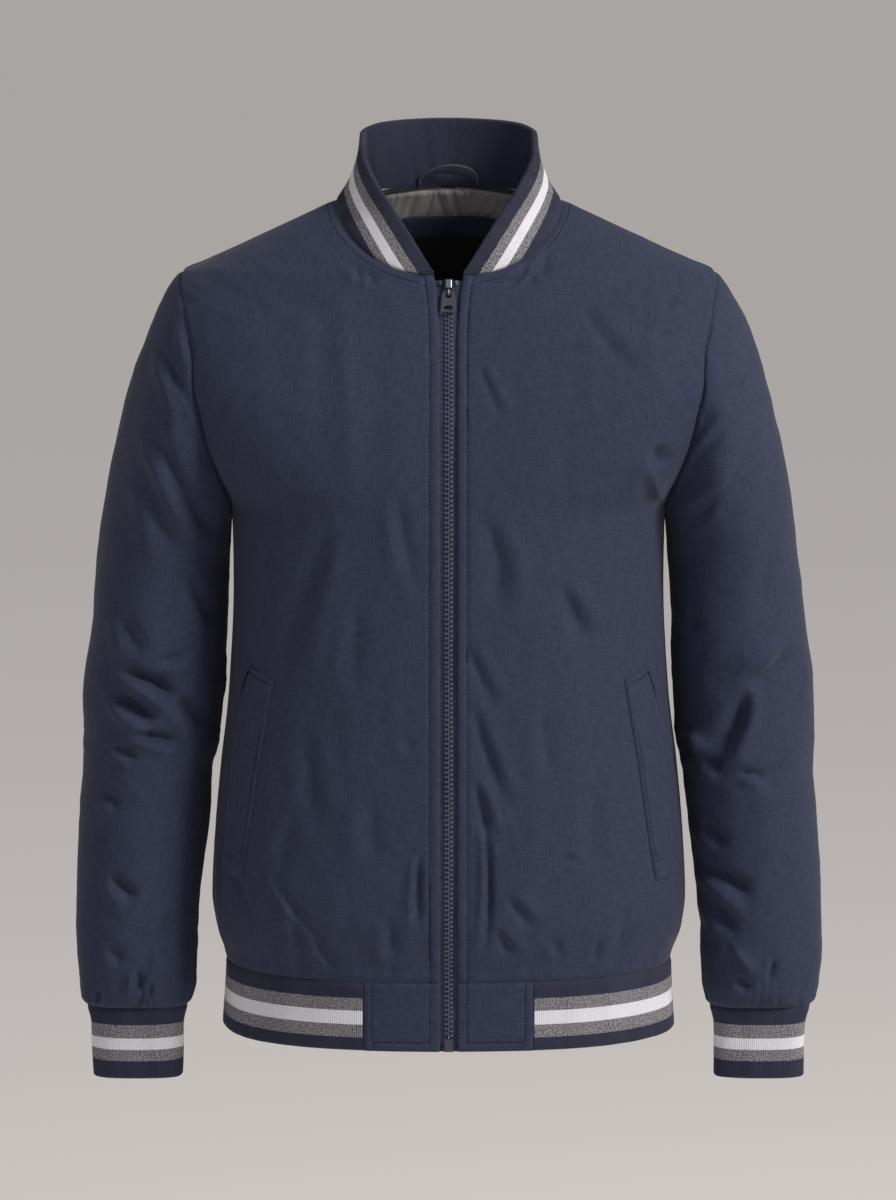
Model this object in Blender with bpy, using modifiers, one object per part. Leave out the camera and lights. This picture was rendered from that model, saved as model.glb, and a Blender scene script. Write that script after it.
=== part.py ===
"""Bomber jacket, filled out as worn with nobody in it. Metres, +Z up, the wearer faces -Y.

The origin is the middle of the neck base, level with the highest points of the shoulder seams.
Every cloth piece is a closed wall between an outer grid of points and the same grid moved in by
the wall's thickness. Pieces that are sewn together share the seam's points and the seam's own
outward direction, and each of them stands back from the seam by half of GAP.
"""

import math

import bmesh
import bpy
import numpy as np
from mathutils import Matrix, Vector
from mathutils.bvhtree import BVHTree

# ---- Sizes ------------------------------------------------------------------------------------

GAP = 0.0004
SHELL_WALL = 0.002
RIB_WALL = 0.003
COLLAR_WALL = 0.0045
WELT_WALL = 0.0025
TRIM_WALL = 0.001

RIB_TOP = -0.607
UNDERARM_HEIGHT = -0.243
SHOULDER_HEIGHT = -0.056
BODY_Y = 0.006
NECK_HALF_WIDTH = 0.0895
FRONT_NECK_HALF_WIDTH = 0.0115
FRONT_NECK_HEIGHT = -0.055
BACK_NECK_HEIGHT = 0.010
HEM_PANEL_EDGE = 0.0675
HEM_ROWS = np.array([-0.622, -0.640, -0.6585, -0.662])
HEM_BOTTOM = HEM_ROWS[-1]
UPPER_ARM = -0.300
CUFF_TOP = -0.6445

ROWS_BELOW_UNDERARM = 9
ROWS_TO_NECK = 6
ROWS_OF_NECKLINE = 4
PANEL_COLUMNS = 9
PLACKET = 0.035
SLEEVE_HEAD_ROWS = 6
SLEEVE_ROWS = np.array([
    -0.340, -0.387, -0.424, -0.448, -0.474, -0.510, -0.554, -0.596, -0.627, -0.639, -0.6445])
CUFF_COLUMNS = 20
CUFF_ROWS = np.array([-0.6535, -0.668, -0.685, -0.7, -0.7025])
COLLAR_ROWS = np.array([0, 0.3, 0.62, 0.93, 1.0])
UNDERARM = 0.50
NECK = 0.85
MIDDLE_AT_UNDERARM = -0.250


def table(columns, rows):
    """Named columns over a few rows: one array for each column."""
    return dict(zip(columns.split(), np.array(rows, float).T))


# The body's outer face by height. Its level outline is half a superellipse in front of the side
# seams and half a one behind them, each with its own depth and power.
BODY = table("height half_width ahead behind power power_behind", [
    (-0.662, 0.1820, 0.1260, 0.1120, 2.4, 2.4),
    (-0.635, 0.1802, 0.1255, 0.1117, 2.4, 2.4),
    (-0.607, 0.1793, 0.1270, 0.1130, 2.4, 2.4),
    (-0.580, 0.1870, 0.1330, 0.1185, 2.4, 2.4),
    (-0.555, 0.1900, 0.1370, 0.1220, 2.4, 2.4),
    (-0.500, 0.1870, 0.1370, 0.1165, 2.4, 2.4),
    (-0.450, 0.1825, 0.1365, 0.1080, 2.4, 2.4),
    (-0.387, 0.1755, 0.1362, 0.1060, 2.4, 2.4),
    (-0.300, 0.1715, 0.1350, 0.1085, 2.4, 2.4),
    (-0.243, 0.1725, 0.1330, 0.1120, 2.5, 2.5),
    (-0.215, 0.1860, 0.1310, 0.1138, 3.0, 2.9),
    (-0.190, 0.1990, 0.1275, 0.1150, 3.4, 3.1),
    (-0.165, 0.2070, 0.1225, 0.1150, 3.8, 3.3),
    (-0.140, 0.2125, 0.1150, 0.1140, 4.3, 3.5),
    (-0.110, 0.2165, 0.1045, 0.1090, 4.0, 3.3),
    (-0.090, 0.2205, 0.0965, 0.1045, 3.3, 2.9),
    (-0.070, 0.2185, 0.0880, 0.0980, 2.5, 2.4),
    (-0.056, 0.2105, 0.0820, 0.0925, 2.1, 2.1),
    (-0.0468, 0.1906, 0.0750, 0.0885, 2.0, 2.0),
    (-0.0253, 0.1440, 0.0500, 0.0780, 2.0, 2.0),
    (0.000, 0.0895, 0.0220, 0.0640, 2.0, 2.0),
    (0.010, 0.0680, 0.0150, 0.0570, 2.0, 2.0),
])
# Half the opening between the two fronts.
OPENING = table("height half_gap", [
    (-0.662, 0.0070),
    (-0.607, 0.0067),
    (-0.110, 0.0068),
    (-0.075, 0.0085),
    (-0.055, 0.0115),
])
ARMHOLE_TILT = math.radians(11.2)
ARMHOLE_DEPTH_AHEAD = 0.083
ARMHOLE_DEPTH_BEHIND = 0.068

SLEEVE = table("height x half_width y half_depth power", [
    (-0.6445, 0.2505, 0.0410, -0.0125, 0.0240, 2.5),
    (-0.6390, 0.2508, 0.0436, -0.0120, 0.0300, 2.2),
    (-0.6300, 0.2508, 0.0457, -0.0110, 0.0360, 2.0),
    (-0.6020, 0.2516, 0.0480, -0.0070, 0.0440, 2.0),
    (-0.5540, 0.2498, 0.0497, -0.0020, 0.0500, 2.0),
    (-0.5000, 0.2452, 0.0516, 0.0050, 0.0550, 2.0),
    (-0.4580, 0.2417, 0.0517, 0.0090, 0.0590, 2.0),
    (-0.4320, 0.2390, 0.0545, 0.0120, 0.0620, 2.0),
    (-0.3870, 0.2365, 0.0563, 0.0150, 0.0665, 2.0),
    (-0.3400, 0.2325, 0.0540, 0.0165, 0.0700, 2.0),
    (-0.3000, 0.2298, 0.0528, 0.0170, 0.0720, 2.0),
])
# How the sleeve leaves the armhole: at the shoulder point, in front, underarm and behind.
SLEEVE_HEAD = table("out across down pull end_pull", [
    (0.72, 0.00, -0.69, 0.055, 0.080),
    (0.52, -0.26, -0.81, 0.055, 0.050),
    (0.10, 0.00, -1.00, 0.018, 0.018),
    (0.56, 0.26, -0.79, 0.055, 0.050),
])
CUFF = table("height x half_width y half_depth power", [
    (-0.7025, 0.2503, 0.0358, -0.0135, 0.0200, 2.6),
    (-0.6610, 0.2505, 0.0367, -0.0130, 0.0209, 2.6),
    (-0.6525, 0.2504, 0.0383, -0.0127, 0.0219, 2.6),
    (-0.6445, 0.2505, 0.0410, -0.0125, 0.0240, 2.5),
])

# The collar's fold, by the place on the neckline that it stands over: 0 is the front end, 90 the
# shoulder seam and 180 the middle of the back.
COLLAR_FOLD = table("neckline x y z", [
    (0, 0.0125, -0.0760, -0.0520),
    (37, 0.0295, -0.0660, -0.0250),
    (59, 0.0425, -0.0520, -0.0060),
    (80, 0.0570, -0.0360, 0.0150),
    (105, 0.0705, -0.0120, 0.0430),
    (122, 0.0735, 0.0130, 0.0560),
    (140, 0.0630, 0.0380, 0.0625),
    (158, 0.0400, 0.0570, 0.0655),
    (180, 0.0000, 0.0670, 0.0668),
])
COLLAR_BOW = 0.0015

# The largest folds, as soft troughs (negative) and ridges from one point to another, with half
# their width and their depth. A panel's points are across and up, and side says which front.
FRONT_FOLDS = table("side start start_up end end_up half_width depth", [
    (1, 0.033, -0.330, 0.027, -0.585, 0.016, -0.0050),
    (1, 0.062, -0.400, 0.052, -0.590, 0.018, 0.0030),
    (1, 0.110, -0.540, 0.088, -0.600, 0.014, -0.0030),
    (-1, 0.030, -0.430, 0.028, -0.590, 0.014, -0.0040),
    (-1, 0.150, -0.500, 0.088, -0.600, 0.016, -0.0045),
    (-1, 0.060, -0.420, 0.050, -0.590, 0.018, 0.0030),
])
BACK_FOLDS = table("side start start_up end end_up half_width depth", [
    (1, 0.120, -0.300, 0.060, -0.440, 0.022, -0.0050),
    (1, 0.085, -0.450, 0.080, -0.595, 0.016, -0.0040),
    (1, 0.020, -0.520, 0.030, -0.600, 0.016, 0.0035),
])
# On a sleeve, start and end are metres round it from the outer line, forwards.
SLEEVE_FOLDS = table("side start start_up end end_up half_width depth", [
    (1, 0.068, -0.150, 0.140, -0.400, 0.020, -0.0060),
    (1, 0.044, -0.420, 0.160, -0.470, 0.014, -0.0060),
    (1, 0.066, -0.480, 0.170, -0.440, 0.012, 0.0035),
    (1, 0.030, -0.560, 0.120, -0.600, 0.014, -0.0035),
    (1, -0.066, -0.180, -0.138, -0.380, 0.022, -0.0050),
    (1, -0.033, -0.450, -0.160, -0.430, 0.014, -0.0045),
])
SLEEVE_REACH = 0.0625

# Corners of the left welt's mirror image, top to bottom: inner and outer edge.
POCKET_WELT = table("height inner outer", [
    (-0.532, 0.1625, 0.1805),
    (-0.497, 0.1572, 0.1765),
    (-0.442, 0.1492, 0.1706),
    (-0.385, 0.1396, 0.1620),
    (-0.367, 0.1366, 0.1562),
])
WELT_ROWS = 6

SLIDER_HEIGHT = -0.0650
SLIDER_SIZE = (0.0084, 0.0026, 0.0150)
SLIDER_FACE = -0.0008
STAPLE_WIRE = 0.0009
STAPLE_REACH = 0.0021
PULL_AXIS = (0.0, -0.0020, -0.0042)
PULL_LENGTH = 0.0168
PULL_TOP_HALF_WIDTH = 0.0050
PULL_BOTTOM_HALF_WIDTH = 0.0062
PULL_WALL = 0.0012
CHAIN_HALF_WIDTH = 0.0033
CHAIN_SETBACK = 0.001
CHAIN_WALL = 0.0024
TAPE_INNER = 0.0036
TAPE_OUTER = 0.0125
TAPE_TOP = -0.0585
STOP_INNER = 0.0054
STOP_OUTER = 0.0072
STOP_LENGTH = 0.0035
STOP_WALL = 0.0016
ZIP_BOX_HEIGHT = 0.010
ZIP_BOX_SETBACK = 0.0004
ZIP_BOX_WALL = 0.0034

FACING = table("height half_width", [
    (-0.085, 0.020),
    (-0.060, 0.046),
    (-0.032, 0.053),
    (-0.018, 0.030),
])
NECK_LIFTS = (0.0011, 0.0030, 0.0047)
LABEL_HALF_WIDTH = 0.0270
LABEL_TOP = -0.029
LABEL_BOTTOM = -0.065
LINING_BELOW_SEAM = 0.0075
LINING_BOTTOM = -0.090
LINING_HALF_WIDTH = 0.062
LOOP_HALF_SPAN = 0.0235
LOOP_HALF_WIDTH = 0.0022
LOOP_Y = 0.0545
LOOP_STANDOFF = 0.0050
LOOP_BOTTOM = 0.0130
LOOP_HEIGHT = 0.0150
LOOP_LEAN = (0, 0.85, 0.52)


# ---- Curves and surfaces ----------------------------------------------------------------------

def smooth(x, y, at):
    """Cubic Hermite curve through the points, which never runs past them."""
    rise = np.diff(y) / np.diff(x)
    level = rise[:-1] * rise[1:] <= 0
    between = 2 * rise[:-1] * rise[1:] / np.where(level, 1, rise[:-1] + rise[1:])
    slope = np.concatenate([rise[:1], np.where(level, 0, between), rise[-1:]])
    at = np.clip(at, x[0], x[-1])
    i = np.clip(np.searchsorted(x, at, side="right") - 1, 0, len(x) - 2)
    step = x[i + 1] - x[i]
    t = (at - x[i]) / step
    value = y[i] * (1 + 2 * t) * (1 - t) ** 2 + y[i + 1] * t * t * (3 - 2 * t)
    return value + step * t * (1 - t) * ((1 - t) * slope[i] - t * slope[i + 1])


def read(rows, column, at, key="height"):
    return smooth(rows[key], rows[column], at)


def stack(*axes):
    return np.stack(np.broadcast_arrays(*axes), axis=-1).astype(float)


def unit(vectors):
    return vectors / np.linalg.norm(vectors, axis=-1, keepdims=True)


def soft_step(t):
    t = np.clip(t, 0, 1)
    return t * t * (3 - 2 * t)


def bezier(t, p0, p1, p2, p3):
    t = t[..., None]
    return p0 * (1 - t) ** 3 + 3 * p1 * t * (1 - t) ** 2 + 3 * p2 * t * t * (1 - t) + p3 * t ** 3


def outline_at(height, ahead):
    """Half width, depth and power of the body's outline at a height, in front or behind."""
    depth = np.where(ahead, read(BODY, "ahead", height), read(BODY, "behind", height))
    power = np.where(ahead, read(BODY, "power", height), read(BODY, "power_behind", height))
    return read(BODY, "half_width", height), depth, power


def body(turn, height):
    """A point of the body's outer face: turn is 0 in front, 90 degrees at the side, 180 behind."""
    across, ahead = np.sin(np.radians(turn)), np.cos(np.radians(turn))
    half_width, depth, power = outline_at(height, ahead > 0)
    reach = (np.abs(across / half_width) ** power + np.abs(ahead / depth) ** power) ** (-1 / power)
    return stack(reach * across, BODY_Y - reach * ahead, height)


def body_out(turn, height):
    """Unit normals of the body's outer face."""
    round_it = body(turn + 0.01, height) - body(turn - 0.01, height)
    up_it = body(turn, height + 1e-5) - body(turn, height - 1e-5)
    return unit(np.cross(round_it, up_it))


def turn_at(x, height):
    """The turn at which the front lies this far from the middle."""
    half_width, depth, power = outline_at(height, True)
    ahead = depth * np.clip(1 - np.abs(x / half_width) ** power, 0, 1) ** (1 / power)
    return np.degrees(np.arctan2(x, ahead))


def neckline_place(angle):
    """Turn and height of the neck seam: 0 at the zip, 90 degrees at the shoulder seam, 180 behind."""
    a = np.radians(angle)
    ahead, behind = np.clip(np.cos(a), 0, 1), np.clip(-np.cos(a), 0, 1)
    height = FRONT_NECK_HEIGHT * ahead ** 1.12 + BACK_NECK_HEIGHT * behind ** 1.5
    x = FRONT_NECK_HALF_WIDTH + (NECK_HALF_WIDTH - FRONT_NECK_HALF_WIDTH) * np.sin(a)
    return np.where(angle < 90, turn_at(x, height), angle), height


def neckline(angle):
    return body(*neckline_place(angle))


def neckline_out(angle):
    """Outward direction along the neck seam, between the panel's and the collar's."""
    a = np.radians(angle)
    lift = np.radians(14 + 30 * np.sin(a) + 4 * (1 - np.cos(a)))
    return stack(np.sin(a) * np.cos(lift), -np.cos(a) * np.cos(lift), np.sin(lift))


def armhole_place(angle):
    """Turn and height of the armhole seam: 0 at the shoulder point, 90 degrees in front, 180 under it."""
    a = np.radians(angle)
    middle = (SHOULDER_HEIGHT + UNDERARM_HEIGHT) / 2
    height = middle + (SHOULDER_HEIGHT - middle) * np.cos(a)
    share = np.abs(np.sin(a)) ** (1 + 0.5 * np.clip(np.cos(a), 0, 1))
    ahead = np.where(np.sin(a) > 0, ARMHOLE_DEPTH_AHEAD, -ARMHOLE_DEPTH_BEHIND) * share
    half_width, depth, power = outline_at(height, ahead > 0)
    x = half_width * (1 - np.abs(ahead / depth) ** power) ** (1 / power)
    return np.degrees(np.arctan2(x, ahead)), height


def armhole(angle):
    return body(*armhole_place(angle))


def armhole_out(angle):
    """Outward direction along the armhole seam: away from its middle, in its own tilted plane."""
    a = np.radians(angle)
    return stack(math.sin(ARMHOLE_TILT) * np.cos(a), -np.sin(a), math.cos(ARMHOLE_TILT) * np.cos(a))


def past_seam(seam, out, angle):
    """Unit vectors across a seam: into the sleeve from the armhole, or up into the collar."""
    along = seam(angle + 0.5) - seam(angle - 0.5)
    return unit(np.cross(out(angle), along))


def neckline_angle(v, start):
    """Where a panel's row meets the neck seam: start is 0 for the front and 180 for the back."""
    return start + (90 - start) * np.clip((v - NECK) / (1 - NECK), 0, 1)


def armhole_angle(v, around):
    """Where a panel's row meets the armhole: around is -1 for the front and 1 for the back."""
    return 180 + around * 180 * np.clip((v - UNDERARM) / (1 - UNDERARM), 0, 1)


def middle_height(v, top):
    return np.interp(v, (0, UNDERARM, NECK), (RIB_TOP, MIDDLE_AT_UNDERARM, top))


def panel_place(u, v, around):
    """Turn and height of a panel's point: u from the middle to the side, v from the hem to the shoulder.

    A row starts on the middle line or on the neck seam and ends on the side seam or on the armhole.
    """
    neck_start, top = (0, FRONT_NECK_HEIGHT) if around < 0 else (180, BACK_NECK_HEIGHT)
    height = middle_height(v, top)
    turn = turn_at(read(OPENING, "half_gap", height), height) if around < 0 else 180
    neck_turn, neck_height = neckline_place(neckline_angle(v, neck_start))
    start_turn, start_height = np.where(v > NECK, (neck_turn, neck_height), (turn + 0 * v, height))
    arm_turn, arm_height = armhole_place(armhole_angle(v, around))
    side_height = np.interp(v, (0, UNDERARM), (RIB_TOP, UNDERARM_HEIGHT))
    end_turn, end_height = np.where(v > UNDERARM, (arm_turn, arm_height), (90 + 0 * v, side_height))
    turn = start_turn + (end_turn - start_turn) * u
    return turn, start_height + (end_height - start_height) * soft_step(u)


def ring(rows, angle, height):
    """A level superellipse round the arm: 0 outside, 90 degrees in front."""
    bend = 2 / read(rows, "power", height)
    waves = np.cos(np.radians(angle)), np.sin(np.radians(angle))
    across, ahead = (np.sign(wave) * np.abs(wave) ** bend for wave in waves)
    x = read(rows, "x", height) + read(rows, "half_width", height) * across
    return stack(x, read(rows, "y", height) - read(rows, "half_depth", height) * ahead, height)


def sleeve_head(angle, t):
    """From the armhole to the upper arm's ring, one cubic for each angle round the armhole."""
    a = np.radians(angle)
    shares = [np.clip(wave, 0, 1) ** 2 for wave in (np.cos(a), np.sin(a), -np.cos(a), -np.sin(a))]
    out, across, down, pull, end_pull = (
        sum(share * value for share, value in zip(shares, values)) for values in SLEEVE_HEAD.values())
    start, end = armhole(angle), ring(SLEEVE, angle, UPPER_ARM + 0 * a)
    leave = start + pull[..., None] * unit(stack(out, across, down))
    arrive = end - end_pull[..., None] * unit(ring(SLEEVE, angle, UPPER_ARM - 0.01 + 0 * a) - end)
    return bezier(t, start, leave, arrive, end)


def collar_surface(angle, w):
    """The collar's outer face: w runs from the neck seam, at 0, to the fold, at 1."""
    seam = neckline(angle)
    fold = stack(*(read(COLLAR_FOLD, axis, angle, "neckline") for axis in "xyz"))
    bow = COLLAR_BOW * 4 * w * (1 - w) * np.minimum(angle / 40, 1)
    return seam + (fold - seam) * w[..., None] + bow[..., None] * neckline_out(angle)


def facing_out(surface, a, b, step, like):
    """Unit normals of a surface of two parameters, on the side that like points to."""
    along_a = surface(a + step, b) - surface(a - step, b)
    along_b = surface(a, b + 1e-3) - surface(a, b - 1e-3)
    out = unit(np.cross(along_a, along_b))
    return out * np.sign(np.sum(out * like, axis=-1, keepdims=True))


def fold_depth(across, up, folds, side):
    """Sum of the folds on one side: a bell across each fold's line that fades towards its ends."""
    total = 0 * across
    for row in range(len(folds["side"])):
        fold = {name: values[row] for name, values in folds.items()}
        if fold["side"] != side:
            continue
        run_across, run_up = fold["end"] - fold["start"], fold["end_up"] - fold["start_up"]
        length = math.hypot(run_across, run_up)
        da, du = across - fold["start"], up - fold["start_up"]
        run = (da * run_across + du * run_up) / length ** 2
        off = (da * run_up - du * run_across) / length / fold["half_width"]
        total = total + fold["depth"] * np.exp(-off * off) * soft_step(3 * run) * soft_step(3 * (1 - run))
    return total


# ---- Materials and walls ----------------------------------------------------------------------

def material(name, colour, roughness, metallic=0.0):
    made = bpy.data.materials.new(name)
    made.use_nodes = True
    shader = made.node_tree.nodes["Principled BSDF"]
    shader.inputs["Base Color"].default_value = (*colour, 1)
    shader.inputs["Roughness"].default_value = roughness
    shader.inputs["Metallic"].default_value = metallic
    return made


def place(name, data, surface):
    """Puts a mesh or a curve into the jacket's collection as a named object."""
    data.materials.append(surface)
    made = bpy.data.objects.new(name, data)
    jacket.objects.link(made)
    return made


def grid_faces(rows, columns, around):
    for i in range(rows - 1):
        for j in range(columns if around else columns - 1):
            k = (j + 1) % columns
            yield i * columns + j, i * columns + k, (i + 1) * columns + k, (i + 1) * columns + j


def halves(face, points):
    """The two triangles of a face with four corners, cut along its shorter diagonal."""
    a, b, c, d = face
    if np.linalg.norm(points[a] - points[c]) <= np.linalg.norm(points[b] - points[d]):
        return (a, b, c), (a, c, d)
    return (a, b, d), (b, c, d)


def wall(name, outer, inner, surface, around=False, side=1, open_middle=False):
    """A closed wall between an outer and an inner grid of points, with its rim all round.

    side -1 makes the piece's mirror image. open_middle leaves out the rim on the middle line,
    where the piece meets its own mirror image.
    """
    rows, columns = outer.shape[:2]
    points = np.concatenate([outer.reshape(-1, 3), inner.reshape(-1, 3)]) * (side, 1, 1)
    count = rows * columns
    faces = list(grid_faces(rows, columns, around))
    corners = points[np.array(faces)]
    to_outside = corners[:, 0] - points[np.array(faces)[:, 0] + count]
    normals = np.cross(corners[:, 2] - corners[:, 0], corners[:, 3] - corners[:, 1])
    if np.sum(normals * to_outside) < 0:
        faces = [face[::-1] for face in faces]
    # Cut alike on both sides, because a twisted face's two diagonals lie further apart than the wall.
    faces = [half for face in faces for half in halves(face, points)]
    ways = {(a, b) for face in faces for a, b in zip(face, face[1:] + face[:1])}
    solid = faces + [tuple(count + i for i in face[::-1]) for face in faces]
    for a, b in sorted(ways):
        middle = open_middle and abs(points[a][0]) < 1e-7 and abs(points[b][0]) < 1e-7
        if (b, a) not in ways and not middle:
            solid.append((b, a, count + a, count + b))
    mesh = bpy.data.meshes.new(name)
    mesh.from_pydata(points.tolist(), [], solid)
    mesh.update()
    return place(name, mesh, surface)


def mirror_on_middle(piece):
    """Completes a piece whose half is open on the middle line."""
    made = piece.modifiers.new("Other half", "MIRROR")
    made.merge_threshold = 0.0001


class Seams:
    """Outward directions for a grid, and the half gap by which its sewn edges stand back."""

    def __init__(self, points, out):
        self.points = points
        self.out = out.copy()
        self.back = np.zeros_like(points)

    def join(self, edge, out, back):
        """Gives an edge of the grid the seam's outward direction and steps it back along back."""
        self.out[edge] = out
        self.back[edge] += GAP / 2 * back

    def wall(self, name, thickness, surface, **options):
        outer = self.points + self.back
        return wall(name, outer, outer - thickness * self.out, surface, **options)


def rolled(points, out, thickness, name, surface, **options):
    """A doubled rib band whose last row is its fold: there the wall narrows from both faces."""
    share = np.ones(len(points))
    share[-1] = 0.45
    outer = points - (thickness * (1 - share) / 2)[:, None, None] * out
    return wall(name, outer, outer - (thickness * share)[:, None, None] * out, surface, **options)


# ---- Cloth pieces -----------------------------------------------------------------------------

def panel_columns():
    """A narrow strip beside the middle, which stays flat along the zip, then even columns."""
    return np.concatenate([[0], np.linspace(PLACKET, 1, PANEL_COLUMNS + 1)])


def panel_rows():
    """Places of the rows up a panel: some lie exactly at the underarm and at the neck."""
    low = np.linspace(0, UNDERARM, ROWS_BELOW_UNDERARM + 1)
    middle = np.linspace(UNDERARM, NECK, ROWS_TO_NECK + 1)
    return np.concatenate([low, middle[1:], np.linspace(NECK, 1, ROWS_OF_NECKLINE + 1)[1:]])


def panel_grid():
    return np.meshgrid(panel_columns(), panel_rows())


def inside_edges(u, v):
    """0 on a panel's sewn edges and 1 a little way in, so that folds leave the seams alone."""
    across = soft_step((u - PLACKET) / 0.10) * soft_step((1 - u) / 0.12)
    return across * soft_step(v / 0.05) * soft_step((1 - v) / 0.12)


def sew_panel(seams, v, around, neck_start):
    """Joins a panel's edges to its neighbours': side seam, hem, shoulder, neckline and armhole."""
    low = ROWS_BELOW_UNDERARM
    high = ROWS_BELOW_UNDERARM + ROWS_TO_NECK
    to_own_side = (0, around, 0)
    seams.join(np.s_[:low + 1, -1], (1, 0, 0), np.array(to_own_side, float))
    level = seams.out[0] * (1, 1, 0)
    seams.join(np.s_[0, :], unit(level), np.array((0, 0, 1.0)))
    share = panel_columns()[:, None]
    shoulder_out = unit(neckline_out(np.array(90.0)) * (1 - share) + armhole_out(np.array(0.0)) * share)
    seams.join(np.s_[-1, :], shoulder_out, np.array(to_own_side, float))
    neck = neckline_angle(v[high:, 0], neck_start)
    seams.join(np.s_[high:, 0], neckline_out(neck), -past_seam(neckline, neckline_out, neck))
    arm = armhole_angle(v[low:, -1], around)
    seams.join(np.s_[low:, -1], armhole_out(arm), -past_seam(armhole, armhole_out, arm))


def make_fronts(surface):
    u, v = panel_grid()
    points, out = body(*panel_place(u, v, -1)), body_out(*panel_place(u, v, -1))
    fronts = {}
    for side, name in ((1, "front_left"), (-1, "front_right")):
        folds = fold_depth(points[..., 0], points[..., 2], FRONT_FOLDS, side) * inside_edges(u, v)
        seams = Seams(points + folds[..., None] * out, out)
        sew_panel(seams, v, -1, 0)
        fronts[side] = seams.wall(name, SHELL_WALL, surface, side=side)
    return fronts


def make_back(surface):
    u, v = panel_grid()
    points, out = body(*panel_place(u, v, 1)), body_out(*panel_place(u, v, 1))
    folds = fold_depth(points[..., 0], points[..., 2], BACK_FOLDS, 1) * inside_edges(u, v)
    seams = Seams(points + folds[..., None] * out, out)
    seams.out[v[:, 0] <= NECK, 0, 0] = 0
    sew_panel(seams, v, 1, 180)
    back = seams.wall("back", SHELL_WALL, surface, open_middle=True)
    mirror_on_middle(back)
    return back


def sleeve_surface(angle, w):
    """A sleeve at (angle, w): w from 0 to 1 down the head, then on to 2 at the cuff seam."""
    height = UPPER_ARM + (CUFF_TOP - UPPER_ARM) * np.clip(w - 1, 0, 1)
    return np.where((w < 1)[..., None], sleeve_head(angle, np.clip(w, 0, 1)), ring(SLEEVE, angle, height))


def make_sleeves(surface):
    climb = panel_rows()[ROWS_BELOW_UNDERARM:]
    ahead, behind = armhole_angle(climb, -1)[::-1], armhole_angle(climb, 1)[1:-1]
    lower = 1 + (SLEEVE_ROWS - UPPER_ARM) / (CUFF_TOP - UPPER_ARM)
    rows = np.concatenate([np.linspace(0, 1, SLEEVE_HEAD_ROWS + 1), lower])
    angle, w = np.meshgrid(np.concatenate([ahead, behind]), rows)
    points = sleeve_surface(angle, w)
    from_middle = points - points.mean(axis=1, keepdims=True)
    out = facing_out(sleeve_surface, angle, np.clip(w, 0.002, 1.998), 0.5, from_middle)
    round_arm = np.radians(np.where(angle > 180, angle - 360, angle)) * SLEEVE_REACH
    folds = fold_depth(round_arm, points[..., 2], SLEEVE_FOLDS, 1)
    folds *= soft_step(w / 0.3) * soft_step((2 - w) / 0.1)
    for side, name in ((1, "sleeve_left"), (-1, "sleeve_right")):
        seams = Seams(points + folds[..., None] * out, out)
        arm = angle[0]
        seams.join(np.s_[0, :], armhole_out(arm), past_seam(armhole, armhole_out, arm))
        seams.join(np.s_[-1, :], unit(seams.out[-1] * (1, 1, 0)), np.array((0, 0, 1.0)))
        seams.wall(name, SHELL_WALL, surface, around=True, side=side)


def make_cuffs(surface):
    heights = np.concatenate([[CUFF_TOP - GAP / 2], CUFF_ROWS])
    angle, height = np.meshgrid(np.linspace(0, 360, CUFF_COLUMNS, endpoint=False), heights)
    points = ring(CUFF, angle, height)
    along = ring(CUFF, angle + 1, height) - ring(CUFF, angle - 1, height)
    out = unit(stack(-along[..., 1], along[..., 0], 0))
    for side, name in ((1, "cuff_left"), (-1, "cuff_right")):
        rolled(points, out, RIB_WALL, name, surface, around=True, side=side)


def make_hem(rib_surface, shell_surface):
    heights = np.concatenate([[RIB_TOP - GAP / 2], HEM_ROWS])[:, None]
    edge = turn_at(HEM_PANEL_EDGE, heights)
    turn = edge + (180 - edge) * np.linspace(0, 1, 19)
    points, out = body(turn, heights), body_out(turn, heights)
    out = unit(out * (1, 1, 0))
    out[:, -1] = (0, 1, 0)
    run = unit(points[:, 1] - points[:, 0])
    points[:, 0] += GAP / 2 * run
    rib = rolled(points, out, RIB_WALL, "hem_rib", rib_surface, open_middle=True)
    mirror_on_middle(rib)
    start = turn_at(read(OPENING, "half_gap", heights), heights)
    turn = start + (edge - start) * np.linspace(0, 1, 5)
    panel, out = body(turn, heights), unit(body_out(turn, heights) * (1, 1, 0))
    panel[:, -1] -= GAP / 2 * run
    for side, name in ((1, "hem_panel_left"), (-1, "hem_panel_right")):
        wall(name, panel, panel - SHELL_WALL * out, shell_surface, side=side)


def make_collar(surface):
    climb = panel_rows()[-ROWS_OF_NECKLINE - 1:]
    angles = np.concatenate([neckline_angle(climb, 0), neckline_angle(climb, 180)[-2::-1]])
    angle, w = np.meshgrid(angles, COLLAR_ROWS)
    points = collar_surface(angle, w)
    out = facing_out(
        collar_surface, np.clip(angle, 1, 179.99), np.clip(w, 0.001, 0.999), 0.2, neckline_out(angle))
    out[:, -1] *= (0, 1, 1)
    out[0] = neckline_out(angles)
    points[0] += GAP / 2 * past_seam(neckline, neckline_out, angles)
    collar = rolled(points, unit(out), COLLAR_WALL, "collar", surface, open_middle=True)
    mirror_on_middle(collar)


def look_at(piece):
    bpy.context.view_layer.update()
    return BVHTree.FromObject(piece, bpy.context.evaluated_depsgraph_get())


def lie_on(tree, x, z, from_y, lift):
    """Points on a piece straight behind (x, z) as seen along Y, moved out by lift, with normals."""
    way = Vector((0, -math.copysign(1, from_y), 0))
    points, out = [], []
    for px, pz in zip(x.ravel(), z.ravel()):
        hit, normal = tree.ray_cast(Vector((px, from_y, pz)), way)[:2]
        points.append(hit + lift * normal)
        out.append(normal)
    return np.array(points).reshape(*x.shape, 3), np.array(out).reshape(*x.shape, 3)


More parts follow.
